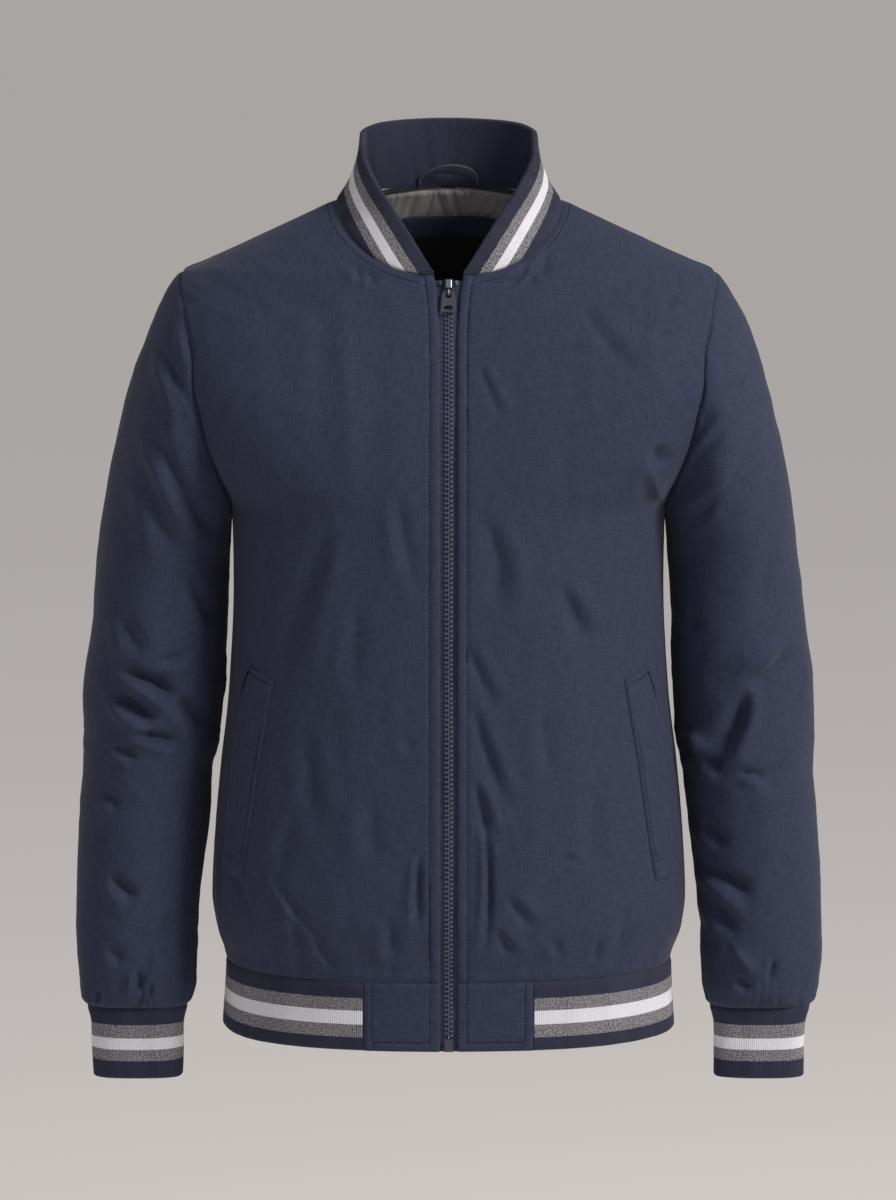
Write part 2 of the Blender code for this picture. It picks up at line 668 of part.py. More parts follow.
def make_pocket_welts(fronts, surface):
    height = np.linspace(POCKET_WELT["height"][-1], POCKET_WELT["height"][0], WELT_ROWS + 1)
    inner, outer = read(POCKET_WELT, "inner", height), read(POCKET_WELT, "outer", height)
    share, _ = np.meshgrid(np.linspace(0, 1, 4), height)
    x = inner[:, None] + (outer - inner)[:, None] * share
    z = height[:, None] + 0 * share
    for side, name in ((1, "pocket_welt_left"), (-1, "pocket_welt_right")):
        under, out = lie_on(look_at(fronts[side]), side * x, z, -0.5, 5 * GAP)
        wall(name, under + WELT_WALL * out, under, surface)


# ---- Zip --------------------------------------------------------------------------------------

def zip_point(height):
    """A point of the zip's middle line and its outward direction there."""
    return body(0 * height, height), body_out(0 * height, height)


def make_strip(name, heights, left, right, setback, thickness, surface):
    """A flat strip along the zip between two distances from the middle."""
    middle, out = zip_point(heights)
    outer = middle[:, None] + stack(np.array([left, right])[None, :] + 0 * heights[:, None], 0, 0)
    outer = outer - setback * out[:, None]
    return wall(name, outer, outer - thickness * out[:, None], surface)


def make_zip(tape_surface, teeth_surface, metal_surface):
    rows = middle_height(panel_rows()[:-ROWS_OF_NECKLINE], FRONT_NECK_HEIGHT)[::-1]
    chain_top = SLIDER_HEIGHT - SLIDER_SIZE[2] / 2 - GAP
    box_top = HEM_BOTTOM + ZIP_BOX_HEIGHT
    chain = np.concatenate([[chain_top], rows[rows < chain_top - 0.005], [box_top + GAP]])
    half = CHAIN_HALF_WIDTH
    make_strip("zip_chain", chain, -half, half, CHAIN_SETBACK, CHAIN_WALL, teeth_surface)
    tape = np.concatenate([[TAPE_TOP], rows[rows < TAPE_TOP - 0.005], HEM_ROWS])
    setback = SHELL_WALL + 2 * GAP
    for side, name in ((1, "zip_tape_left"), (-1, "zip_tape_right")):
        make_strip(name, tape, side * TAPE_INNER, side * TAPE_OUTER, setback, TRIM_WALL, tape_surface)
    stop = TAPE_TOP - np.array([GAP, GAP + STOP_LENGTH])
    for side, name in ((1, "zip_stop_left"), (-1, "zip_stop_right")):
        inner, outer = side * STOP_INNER, side * STOP_OUTER
        make_strip(name, stop, inner, outer, setback - GAP - STOP_WALL, STOP_WALL, metal_surface)
    ends = np.array([box_top, HEM_BOTTOM])
    make_strip("zip_box", ends, -half, half, ZIP_BOX_SETBACK, ZIP_BOX_WALL, metal_surface)


def zip_frame():
    """The slider's own axes: X across, Z up the zip and -Y straight out of it."""
    middle, out = zip_point(np.array(SLIDER_HEIGHT))
    lean = math.atan2(out[2], -out[1])
    return Matrix.Translation(Vector(middle)) @ Matrix.Rotation(-lean, 4, "X")


def block(name, size, centre, bevel, surface):
    """A block with rounded edges, in the slider's axes."""
    shape = bmesh.new()
    bmesh.ops.create_cube(shape, size=1.0)
    bmesh.ops.scale(shape, vec=size, verts=shape.verts)
    bmesh.ops.translate(shape, vec=centre, verts=shape.verts)
    mesh = bpy.data.meshes.new(name)
    shape.to_mesh(mesh)
    shape.free()
    made = place(name, mesh, surface)
    rounding = made.modifiers.new("Rounded edges", "BEVEL")
    rounding.width = bevel
    rounding.segments = 2
    made.matrix_world = zip_frame()
    return made


def make_slider(surface):
    width, depth, length = SLIDER_SIZE
    block("zip_slider", SLIDER_SIZE, (0, SLIDER_FACE + depth / 2, 0), 0.0008, surface)
    crown_foot = SLIDER_FACE - GAP
    crown_bottom = PULL_AXIS[2] + STAPLE_REACH + STAPLE_WIRE + 2 * GAP
    crown_top = length / 2 - 0.0012
    crown = (0.0046, 0.0010, crown_top - crown_bottom)
    centre = (0, crown_foot - crown[1] / 2, (crown_top + crown_bottom) / 2)
    block("zip_slider_crown", crown, centre, 0.0004, surface)


def make_staple(surface):
    """A round wire over the pull's top bar, both feet on the slider's face."""
    curve = bpy.data.curves.new("zip_staple", "CURVE")
    curve.dimensions = "3D"
    curve.bevel_depth = STAPLE_WIRE
    curve.bevel_resolution = 2
    curve.use_fill_caps = True
    turns = [math.pi * i / 8 for i in range(9)]
    foot = SLIDER_FACE - GAP
    y, z, reach = PULL_AXIS[1], PULL_AXIS[2], STAPLE_REACH
    bend = [(0, y - reach * math.sin(t), z + reach * math.cos(t)) for t in turns]
    route = [(0, foot, z + reach), *bend, (0, foot, z - reach)]
    spline = curve.splines.new("POLY")
    spline.points.add(len(route) - 1)
    for point, where in zip(spline.points, route):
        point.co = (*where, 1)
    place("zip_staple", curve, surface).matrix_world = zip_frame()


def outline(curve, points):
    spline = curve.splines.new("POLY")
    spline.points.add(len(points) - 1)
    for point, (x, y) in zip(spline.points, points):
        point.co = (x, y, 0, 1)
    spline.use_cyclic_u = True


def oval(x, y, half_width, half_height, power=2.0, count=20):
    turns = [2 * math.pi * i / count for i in range(count)]
    bend = 2 / power
    return [(x + half_width * math.copysign(abs(math.cos(t)) ** bend, math.cos(t)),
             y + half_height * math.copysign(abs(math.sin(t)) ** bend, math.sin(t))) for t in turns]


def make_pull(surface):
    """The pull tab: a flat plate that hangs by its top bar, flared to its foot, with an oval hole."""
    curve = bpy.data.curves.new("zip_pull", "CURVE")
    curve.dimensions = "2D"
    curve.fill_mode = "BOTH"
    curve.extrude = PULL_WALL / 2
    bar = PULL_WALL / 2
    foot = bar - PULL_LENGTH
    top, low, cut = PULL_TOP_HALF_WIDTH, PULL_BOTTOM_HALF_WIDTH, 0.0012
    right = [(top - cut, bar), (top, bar - cut), (low, foot + cut), (low - cut, foot)]
    outline(curve, right + [(-x, y) for x, y in reversed(right)])
    outline(curve, oval(0, -(bar + 0.0020), 0.0021, 0.0020, 4.0))
    outline(curve, oval(0, foot + 0.0034, 0.0039, 0.0020))
    pull = place("zip_pull", curve, surface)
    pull.matrix_world = zip_frame() @ Matrix.Translation(PULL_AXIS) @ Matrix.Rotation(math.pi / 2, 4, "X")


# ---- Inside the neck --------------------------------------------------------------------------

def make_neck_inside(back, lining_surface, shell_surface, label_surface):
    tree = look_at(back)
    lining_lift, facing_lift, label_lift = NECK_LIFTS
    share, up = np.meshgrid(np.linspace(-1, 1, 11), np.linspace(0, 1, 7))
    x = LINING_HALF_WIDTH * share
    across = np.degrees(np.arcsin(np.abs(x) / NECK_HALF_WIDTH))
    top = neckline(180 - across)[..., 2] - LINING_BELOW_SEAM
    z = top + (LINING_BOTTOM - top) * up
    under, out = lie_on(tree, x, z, -0.03, lining_lift)
    wall("back_neck_lining", under, under + TRIM_WALL * out, lining_surface)
    height = np.linspace(FACING["height"][-1], FACING["height"][0], 6)
    share, z = np.meshgrid(np.linspace(-1, 1, 9), height)
    x = share * read(FACING, "half_width", z)
    under, out = lie_on(tree, x, z, -0.03, facing_lift)
    wall("back_neck_facing", under, under + TRIM_WALL * out, shell_surface)
    share, z = np.meshgrid(np.linspace(-1, 1, 5), np.linspace(LABEL_TOP, LABEL_BOTTOM, 4))
    under, out = lie_on(tree, LABEL_HALF_WIDTH * share, z, -0.03, label_lift)
    wall("label", under, under + TRIM_WALL * out, label_surface)


def make_hanger_loop(surface):
    """A tape loop whose two ends are sewn in at the collar seam."""
    turn = np.linspace(0, math.pi, 11)
    rise = np.sin(turn)
    y, z = LOOP_Y - LOOP_STANDOFF * rise, LOOP_BOTTOM + LOOP_HEIGHT * rise ** 0.7
    middle = stack(-LOOP_HALF_SPAN * np.cos(turn), y, z)
    along = unit(np.gradient(middle, axis=0))
    across = LOOP_HALF_WIDTH * unit(np.cross(along, LOOP_LEAN))
    outer = np.stack([middle - across, middle + across], axis=1)
    out = unit(np.cross(along, across))[:, None]
    wall("hanger_loop", outer, outer - TRIM_WALL * out, surface)


# ---- The jacket -------------------------------------------------------------------------------

for old in list(bpy.data.objects):
    bpy.data.objects.remove(old, do_unlink=True)
jacket = bpy.data.collections.new("Bomber jacket")
bpy.context.scene.collection.children.link(jacket)

shell = material("Shell fabric", (0.042, 0.048, 0.082), 0.75)
rib = material("Rib knit", (0.016, 0.017, 0.028), 0.90)
satin = material("Lining satin", (0.070, 0.064, 0.075), 0.45)
tape = material("Zip tape", (0.020, 0.022, 0.034), 0.80)
moulded = material("Moulded teeth", (0.050, 0.052, 0.065), 0.35)
plated = material("Plated metal", (0.110, 0.115, 0.135), 0.35, 0.8)
label_cloth = material("Label cloth", (0.012, 0.012, 0.016), 0.60)

fronts_by_side = make_fronts(shell)
back_panel = make_back(shell)
make_sleeves(shell)
make_cuffs(rib)
make_hem(rib, shell)
make_collar(rib)
make_pocket_welts(fronts_by_side, shell)
make_zip(tape, moulded, plated)
make_slider(plated)
make_staple(plated)
make_pull(plated)
make_neck_inside(back_panel, satin, shell, label_cloth)
make_hanger_loop(tape)
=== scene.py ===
"""Bomber jacket, filled out as worn with nobody in it: how it looks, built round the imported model.

Metres, +Z up, the wearer faces -Y. The origin is the middle of the neck base.
"""

import math

import bpy
import numpy as np
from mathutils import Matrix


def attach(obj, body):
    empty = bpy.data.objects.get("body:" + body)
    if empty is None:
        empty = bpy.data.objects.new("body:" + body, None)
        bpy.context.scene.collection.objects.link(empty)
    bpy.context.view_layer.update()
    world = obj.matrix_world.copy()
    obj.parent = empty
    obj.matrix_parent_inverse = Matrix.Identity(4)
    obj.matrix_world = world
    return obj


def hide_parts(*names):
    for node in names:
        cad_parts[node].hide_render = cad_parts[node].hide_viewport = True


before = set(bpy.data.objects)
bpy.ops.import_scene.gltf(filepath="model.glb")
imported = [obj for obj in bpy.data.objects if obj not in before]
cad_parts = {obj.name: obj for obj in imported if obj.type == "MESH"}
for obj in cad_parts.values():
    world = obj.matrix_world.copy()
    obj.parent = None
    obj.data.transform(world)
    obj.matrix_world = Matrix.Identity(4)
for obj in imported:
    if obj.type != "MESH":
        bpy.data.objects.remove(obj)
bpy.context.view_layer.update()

# ---- Fronts -----------------------------------------------------------------------------------
# Two mirrored panels of matt plain-weave cotton and nylon on a thin lining. Each is sewn to the
# back at the side and the shoulder, to its sleeve, to the collar and to the hem, and its own edge
# is folded under and topstitched beside the zip.

SHELL_WALL = 0.002
RIB_TOP = -0.607
UNDERARM_HEIGHT = -0.243
SHOULDER_HEIGHT = -0.056
BODY_Y = 0.006
NECK_HALF_WIDTH = 0.0895
FRONT_NECK_HALF_WIDTH = 0.0115
FRONT_NECK_HEIGHT = -0.055
BACK_NECK_HEIGHT = 0.010
UNDERARM = 0.50
NECK = 0.85
MIDDLE_AT_UNDERARM = -0.250
ARMHOLE_TILT = math.radians(11.2)
ARMHOLE_DEPTH_AHEAD = 0.083
ARMHOLE_DEPTH_BEHIND = 0.068
CLOTH_PITCH = 0.0024
EDGE_PITCH = 0.0010
PLACKET_STITCH = 0.0079
NECK_STITCH = 0.0070
FOLD_DEPTH = 2.3
# The groove that a row of stitches or a folded edge draws into the cloth.
GROOVE_DEPTH, GROOVE_WIDTH = 0.0009, 0.0010


def table(columns, rows):
    """Named columns over a few rows: one array for each column."""
    return dict(zip(columns.split(), np.array(rows, float).T))


# The body's outer face by height. Its level outline is half a superellipse in front of the side
# seams and half a one behind them, each with its own depth and power.
BODY = table("height half_width ahead behind power power_behind", [
    (-0.662, 0.1820, 0.1260, 0.1120, 2.4, 2.4),
    (-0.635, 0.1802, 0.1255, 0.1117, 2.4, 2.4),
    (-0.607, 0.1793, 0.1270, 0.1130, 2.4, 2.4),
    (-0.580, 0.1870, 0.1330, 0.1185, 2.4, 2.4),
    (-0.555, 0.1900, 0.1370, 0.1220, 2.4, 2.4),
    (-0.500, 0.1870, 0.1370, 0.1165, 2.4, 2.4),
    (-0.450, 0.1825, 0.1365, 0.1080, 2.4, 2.4),
    (-0.387, 0.1755, 0.1362, 0.1060, 2.4, 2.4),
    (-0.300, 0.1715, 0.1350, 0.1085, 2.4, 2.4),
    (-0.243, 0.1725, 0.1330, 0.1120, 2.5, 2.5),
    (-0.215, 0.1860, 0.1310, 0.1138, 3.0, 2.9),
    (-0.190, 0.1990, 0.1275, 0.1150, 3.4, 3.1),
    (-0.165, 0.2070, 0.1225, 0.1150, 3.8, 3.3),
    (-0.140, 0.2125, 0.1150, 0.1140, 4.3, 3.5),
    (-0.110, 0.2165, 0.1045, 0.1090, 4.0, 3.3),
    (-0.090, 0.2205, 0.0965, 0.1045, 3.3, 2.9),
    (-0.070, 0.2185, 0.0880, 0.0980, 2.5, 2.4),
    (-0.056, 0.2105, 0.0820, 0.0925, 2.1, 2.1),
    (-0.0468, 0.1906, 0.0750, 0.0885, 2.0, 2.0),
    (-0.0253, 0.1440, 0.0500, 0.0780, 2.0, 2.0),
    (0.000, 0.0895, 0.0220, 0.0640, 2.0, 2.0),
    (0.010, 0.0680, 0.0150, 0.0570, 2.0, 2.0),
])
OPENING = table("height half_gap", [
    (-0.662, 0.0070),
    (-0.607, 0.0067),
    (-0.110, 0.0068),
    (-0.075, 0.0085),
    (-0.055, 0.0115),
])
# Folds in front, as they are seen from ahead: across and up where each starts and ends, how far it
# bows to its right, half its width, its depth (a ridge is below 0) and the side its ridge lies on.
FRONT_FOLDS = table("x z end_x end_z bow half_width depth ridge", [
    (-0.0843, -0.0500, -0.0727, -0.2571, 0.000, 0.010, -0.0009, 1),
    (-0.0882, -0.2336, -0.1410, -0.3861, 0.000, 0.009, 0.0024, -1),
    (-0.0727, -0.2923, -0.0727, -0.3900, 0.000, 0.007, 0.0009, 1),
    (-0.0417, -0.2141, -0.0223, -0.3040, 0.002, 0.006, 0.0012, 1),
    (-0.1100, -0.4017, -0.1037, -0.4917, 0.002, 0.007, 0.0012, -1),
    (-0.0339, -0.4096, -0.0300, -0.4252, 0.000, 0.004, 0.0007, 1),
    (-0.1480, -0.5206, -0.0930, -0.5900, 0.003, 0.0028, -0.0013, -1),
    (-0.1120, -0.5680, -0.0860, -0.6000, 0.000, 0.0030, 0.0014, 1),
    (-0.1737, -0.5206, -0.1528, -0.5699, 0.001, 0.0040, 0.0014, 1),
    (-0.0223, -0.4950, -0.0246, -0.5700, 0.001, 0.0030, 0.0020, 1),
    (-0.0470, -0.5500, -0.0440, -0.5900, 0.000, 0.005, 0.0012, 1),
    (-0.0727, -0.0459, -0.0660, -0.0640, 0.001, 0.0032, 0.0011, 1),
    (-0.0634, -0.0498, -0.0560, -0.0640, 0.001, 0.0032, 0.0010, 1),
    (-0.1425, -0.0733, -0.0921, -0.0811, 0.002, 0.007, 0.0008, 1),
    (-0.1180, -0.4700, -0.1350, -0.5300, 0.002, 0.006, 0.0010, 1),
    (-0.0600, -0.4500, -0.0560, -0.5200, 0.002, 0.008, 0.0010, 1),
    (-0.1250, -0.5400, -0.1120, -0.5950, 0.000, 0.005, 0.0014, 1),
    (0.0631, -0.0440, 0.0398, -0.0640, -0.004, 0.0030, 0.0016, 1),
    (0.0763, -0.0360, 0.0730, -0.0600, 0.000, 0.0032, 0.0013, 1),
    (0.0700, -0.0410, 0.0560, -0.0660, -0.003, 0.0030, 0.0012, 1),
    (0.1795, -0.0694, 0.1678, -0.0830, 0.000, 0.0030, 0.0010, 1),
    (0.1562, -0.0620, 0.1485, -0.0772, 0.000, 0.0035, 0.0009, 1),
    (0.1700, -0.0930, 0.1600, -0.1050, 0.000, 0.0035, 0.0009, 1),
    (0.0980, -0.0694, 0.1562, -0.1398, 0.004, 0.006, 0.0010, -1),
    (0.0220, -0.1202, 0.0437, -0.1672, 0.001, 0.004, 0.0008, -1),
    (0.0243, -0.2336, 0.0320, -0.3196, -0.010, 0.008, 0.0019, -1),
    (0.0864, -0.2884, 0.1112, -0.3431, 0.001, 0.006, 0.0023, -1),
    (0.0126, -0.3314, 0.0398, -0.3939, 0.002, 0.005, 0.0013, -1),
    (0.0165, -0.3783, 0.0476, -0.4721, 0.002, 0.005, 0.0017, -1),
    (0.0185, -0.4400, 0.0300, -0.4950, -0.002, 0.0042, 0.0021, -1),
    (0.0266, -0.4690, 0.0266, -0.5900, -0.005, 0.0028, 0.0026, 1),
    (0.1190, -0.5720, 0.1135, -0.5960, 0.000, 0.0026, 0.0014, 1),
    (0.0437, -0.5347, 0.0690, -0.5650, 0.001, 0.005, 0.0017, -1),
    (0.0359, -0.5600, 0.0530, -0.5880, 0.001, 0.004, 0.0015, -1),
    (0.0864, -0.5034, 0.1058, -0.5128, 0.001, 0.003, 0.0009, -1),
    (0.1213, -0.5816, 0.1485, -0.5582, 0.001, 0.003, -0.0010, 1),
    (0.0825, -0.5700, 0.0885, -0.5900, 0.000, 0.004, 0.0014, 1),
    (0.1600, -0.1850, 0.1700, -0.2062, 0.001, 0.0075, 0.0026, 1),
    (0.1570, -0.1990, 0.1700, -0.2380, 0.002, 0.005, -0.0012, 1),
    (0.0724, -0.3822, 0.0802, -0.4526, 0.001, 0.006, 0.0009, 1),
    (0.1180, -0.4300, 0.1120, -0.5300, 0.002, 0.008, 0.0010, -1),
    (0.1420, -0.5400, 0.1350, -0.5950, 0.001, 0.006, 0.0016, 1),
])


def smooth(x, y, at):
    """Cubic Hermite curve through the points, which never runs past them."""
    rise = np.diff(y) / np.diff(x)
    level = rise[:-1] * rise[1:] <= 0
    between = 2 * rise[:-1] * rise[1:] / np.where(level, 1, rise[:-1] + rise[1:])
    slope = np.concatenate([rise[:1], np.where(level, 0, between), rise[-1:]])
    at = np.clip(at, x[0], x[-1])
    i = np.clip(np.searchsorted(x, at, side="right") - 1, 0, len(x) - 2)
    step = x[i + 1] - x[i]
    t = (at - x[i]) / step
    value = y[i] * (1 + 2 * t) * (1 - t) ** 2 + y[i + 1] * t * t * (3 - 2 * t)
    return value + step * t * (1 - t) * ((1 - t) * slope[i] - t * slope[i + 1])


def read(rows, column, at, key="height"):
    """A table's column between its rows, on the smooth curve through them."""
    return smooth(rows[key], rows[column], at)


def stack(*axes):
    """One array of points from their coordinates."""
    return np.stack(np.broadcast_arrays(*axes), axis=-1).astype(float)


def unit(vectors):
    """Each vector over its own length."""
    return vectors / np.linalg.norm(vectors, axis=-1, keepdims=True)


def soft_step(t):
    """3 t squared less 2 t cubed, from 0 at 0 to 1 at 1."""
    t = np.clip(t, 0, 1)
    return t * t * (3 - 2 * t)


def outline_at(height, ahead):
    """Half width, depth and power of the body's outline at a height, in front or behind."""
    depth = np.where(ahead, read(BODY, "ahead", height), read(BODY, "behind", height))
    power = np.where(ahead, read(BODY, "power", height), read(BODY, "power_behind", height))
    return read(BODY, "half_width", height), depth, power


def body(turn, height):
    """Body's outer face: at a turn (0 in front, 90 degrees at the side, 180 behind) a superellipse's
    radius is (|sin / half width| ^ power + |cos / depth| ^ power) ^ (-1 / power)."""
    across, ahead = np.sin(np.radians(turn)), np.cos(np.radians(turn))
    half_width, depth, power = outline_at(height, ahead > 0)
    reach = (np.abs(across / half_width) ** power + np.abs(ahead / depth) ** power) ** (-1 / power)
    return stack(reach * across, BODY_Y - reach * ahead, height)


def body_out(turn, height):
    """Unit normals of the body's outer face: its step round crossed with its step up."""
    round_it = body(turn + 0.01, height) - body(turn - 0.01, height)
    up_it = body(turn, height + 1e-5) - body(turn, height - 1e-5)
    return unit(np.cross(round_it, up_it))


def turn_at(x, height):
    """The turn at which the front lies this far from the middle."""
    half_width, depth, power = outline_at(height, True)
    ahead = depth * np.clip(1 - np.abs(x / half_width) ** power, 0, 1) ** (1 / power)
    return np.degrees(np.arctan2(x, ahead))


def neckline_place(angle):
    """Turn and height of the neck seam: 0 at the zip, 90 degrees at the shoulder seam, 180 behind."""
    a = np.radians(angle)
    ahead, behind = np.clip(np.cos(a), 0, 1), np.clip(-np.cos(a), 0, 1)
    height = FRONT_NECK_HEIGHT * ahead ** 1.12 + BACK_NECK_HEIGHT * behind ** 1.5
    x = FRONT_NECK_HALF_WIDTH + (NECK_HALF_WIDTH - FRONT_NECK_HALF_WIDTH) * np.sin(a)
    return np.where(angle < 90, turn_at(x, height), angle), height


def neckline(angle):
    """The neck seam's points."""
    return body(*neckline_place(angle))


def neckline_out(angle):
    """Outward direction along the neck seam, between the panel's and the collar's."""
    a = np.radians(angle)
    lift = np.radians(14 + 30 * np.sin(a) + 4 * (1 - np.cos(a)))
    return stack(np.sin(a) * np.cos(lift), -np.cos(a) * np.cos(lift), np.sin(lift))


def below_neck(angle):
    """A line 7 mm below the neck seam: off it at right angles, along the body's face."""
    ahead = neckline(angle + 0.2) - neckline(angle - 0.2)
    return neckline(angle) + NECK_STITCH * unit(np.cross(ahead, neckline_out(angle)))


def stitched_down(points, line):
    """Groove that topstitching draws into the cloth: 1 at the nearest of a line's points, 0 beyond 3 mm."""
    gap = points[..., None, :] - line
    return np.exp(-np.min(np.sum(gap * gap, axis=-1), axis=-1) / 0.0011 ** 2)


def armhole_place(angle):
    """Turn and height of the armhole seam: 0 at the shoulder point, 90 degrees in front, 180 under it."""
    a = np.radians(angle)
    middle = (SHOULDER_HEIGHT + UNDERARM_HEIGHT) / 2
    height = middle + (SHOULDER_HEIGHT - middle) * np.cos(a)
    share = np.abs(np.sin(a)) ** (1 + 0.5 * np.clip(np.cos(a), 0, 1))
    ahead = np.where(np.sin(a) > 0, ARMHOLE_DEPTH_AHEAD, -ARMHOLE_DEPTH_BEHIND) * share
    half_width, depth, power = outline_at(height, ahead > 0)
    x = half_width * (1 - np.abs(ahead / depth) ** power) ** (1 / power)
    return np.degrees(np.arctan2(x, ahead)), height


def armhole(angle):
    """The armhole seam's points."""
    return body(*armhole_place(angle))


def armhole_out(angle):
    """Outward direction along the armhole seam: away from its middle, in its own tilted plane."""
    a = np.radians(angle)
    return stack(math.sin(ARMHOLE_TILT) * np.cos(a), -np.sin(a), math.cos(ARMHOLE_TILT) * np.cos(a))


def neckline_angle(v, start):
    """Where a panel's row meets the neck seam: start is 0 for the front and 180 for the back."""
    return start + (90 - start) * np.clip((v - NECK) / (1 - NECK), 0, 1)


def armhole_angle(v, around):
    """Where a panel's row meets the armhole: around is -1 for the front and 1 for the back."""
    return 180 + around * 180 * np.clip((v - UNDERARM) / (1 - UNDERARM), 0, 1)


def panel_place(u, v, around):
    """Turn and height of a panel's point: u from the middle to the side, v from the hem to the shoulder.

    A row starts on the middle line or the neck seam and ends on the side seam or the armhole. Its
    turn runs evenly between them, and its height eases from one to the other.
    """
    neck_start, top = (0, FRONT_NECK_HEIGHT) if around < 0 else (180, BACK_NECK_HEIGHT)
    height = np.interp(v, (0, UNDERARM, NECK), (RIB_TOP, MIDDLE_AT_UNDERARM, top))
    turn = turn_at(read(OPENING, "half_gap", height), height) if around < 0 else 180
    neck_turn, neck_height = neckline_place(neckline_angle(v, neck_start))
    start_turn, start_height = np.where(v > NECK, (neck_turn, neck_height), (turn + 0 * v, height))
    arm_turn, arm_height = armhole_place(armhole_angle(v, around))
    side_height = np.interp(v, (0, UNDERARM), (RIB_TOP, UNDERARM_HEIGHT))
    end_turn, end_height = np.where(v > UNDERARM, (arm_turn, arm_height), (90 + 0 * v, side_height))
    turn = start_turn + (end_turn - start_turn) * u
    return turn, start_height + (end_height - start_height) * soft_step(u)


def places(length, pitch, start=None, end=None, reach=0.006):
    """Numbers from 0 to 1 for a line of this length, pitch apart, or less at an end given its own."""
    along = np.linspace(0, length, 2001)
    per_metre = 1 / pitch + 0 * along
    for fine, away in ((start or pitch, along), (end or pitch, length - along)):
        per_metre += (1 / fine - 1 / pitch) * np.exp(-away / reach)
    count = np.concatenate([[0], np.cumsum((per_metre[1:] + per_metre[:-1]) / 2 * np.diff(along))])
    steps = 2 * round(count[-1] / 2)
    return np.interp(np.linspace(0, count[-1], steps + 1), count, along) / length


def run_along(points, axis):
    """Distance along a grid's rows or columns from the first of them."""
    step = np.linalg.norm(np.diff(points, axis=axis), axis=-1)
    return np.insert(np.cumsum(step, axis), 0, 0, axis)


def lean(out, seam_out, away):
    """Turns the outward directions to the seam's own as they near it."""
    return unit(out + (seam_out - out) * np.exp(-(away / 0.005) ** 2)[..., None])


def mottle(across, up, size_across, size_up, seed):
    """Smooth noise from -1 to 1: random heights at the corners of a lattice, eased between them."""
    corners = np.random.default_rng(seed).uniform(-1, 1, (256, 256))
    a, b = across / size_across + 100, up / size_up + 100
    i, j = np.floor(a).astype(int), np.floor(b).astype(int)
    s, t = soft_step(a - i), soft_step(b - j)
    rows = [corners[i % 256, k % 256] * (1 - s) + corners[(i + 1) % 256, k % 256] * s for k in (j, j + 1)]
    return rows[0] * (1 - t) + rows[1] * t


def crumple(across, up, size, seed):
    """Small dents and creases: 1 less twice the size of the noise, at three scales, each one turned."""
    total = 0 * across
    for scale in range(3):
        turn, share = 0.6 + 1.9 * scale, 0.55 ** scale
        a = across * math.cos(turn) - up * math.sin(turn)
        b = across * math.sin(turn) + up * math.cos(turn)
        total += share * (1 - 2 * np.abs(mottle(a, b, size * share, 1.7 * size * share, seed + scale)))
    return total / 2


def folds_at(points, folds, facing):
    """Sum of the folds. Across a fold's bowed line the height is -exp(-|s| ^ 1.6), and half as much
    of a rounded ridge on one side, where s is the distance over the half width."""
    total = 0 * points[..., 0]
    for row in zip(*folds.values()):
        x, z, end_x, end_z, bow, half_width, depth, ridge = row
        run_x, run_z = end_x - x, end_z - z
        length = math.hypot(run_x, run_z)
        dx, dz = points[..., 0] - x, points[..., 2] - z
        run = (dx * run_x + dz * run_z) / length ** 2
        off = (dx * run_z - dz * run_x) / length - 4 * bow * run * (1 - run)
        s = off / (half_width * (0.75 + 0.5 * np.clip(run, 0, 1)))
        profile = 0.5 * np.exp(-((s - 1.8 * ridge) / 1.2) ** 2) - np.exp(-np.abs(s) ** 1.6)
        total += depth * profile * soft_step(2.6 * run) * soft_step(2.6 * (1 - run))
    return total * facing


def seam_line(away):
    """Height of the cloth beside a seam: drawn in at the stitches and puffed out just beside them."""
    return 0.0004 * np.exp(-((away - 0.0052) / 0.003) ** 2) - 0.0009 * np.exp(-(away / 0.0017) ** 2)


def puckers(along, away, length, depth, reach, seed):
    """Gathers across a seam: sharp troughs between round ridges, of uneven length and strength along it,
    which fade away from it."""
    drift = 0.9 * mottle(along, 0 * along, 2.3 * length, 1, seed)
    strength = 0.55 + 0.45 * mottle(along, away, 1.7 * length, 3 * reach, seed + 1)
    wave = 2 * np.abs(np.sin(math.pi * (along / length + drift))) ** 0.8 - 1.2
    return depth * strength * wave * np.exp(-away / reach) * (1 - np.exp(-(away / 0.003) ** 2))


def linear(code):
    """Linear colour and an alpha of 1, from an sRGB hex code."""
    srgb = np.array([int(code[i:i + 2], 16) for i in (0, 2, 4)]) / 255
    return (*np.where(srgb <= 0.04045, srgb / 12.92, ((srgb + 0.055) / 1.055) ** 2.4), 1)


def add_node(tree, kind, values=None, links=None, **settings):
    """Adds a shader node: its own settings, its sockets' values, and what its sockets take from others."""
    made = tree.nodes.new("ShaderNode" + kind)
    for name, setting in settings.items():
        setattr(made, name, setting)
    for socket, value in (values or {}).items():
        made.inputs[socket].default_value = value
    for socket, source in (links or {}).items():
        tree.links.new(source, made.inputs[socket])
    return made


def start_material(name, roughness, **values):
    """A material with its Principled shader's constants set. Gives it, its tree and the shader."""
    made = bpy.data.materials.new(name)
    made.use_nodes = True
    shader = made.node_tree.nodes["Principled BSDF"]
    shader.inputs["Roughness"].default_value = roughness
    for socket, value in values.items():
        shader.inputs[socket.replace("_", " ")].default_value = value
    return made, made.node_tree, shader


def plain_surface(name, roughness, code, **values):
    """A material of one even colour, given as an sRGB hex code."""
    made, _, shader = start_material(name, roughness, **values)
    shader.inputs["Base Color"].default_value = linear(code)
    return made


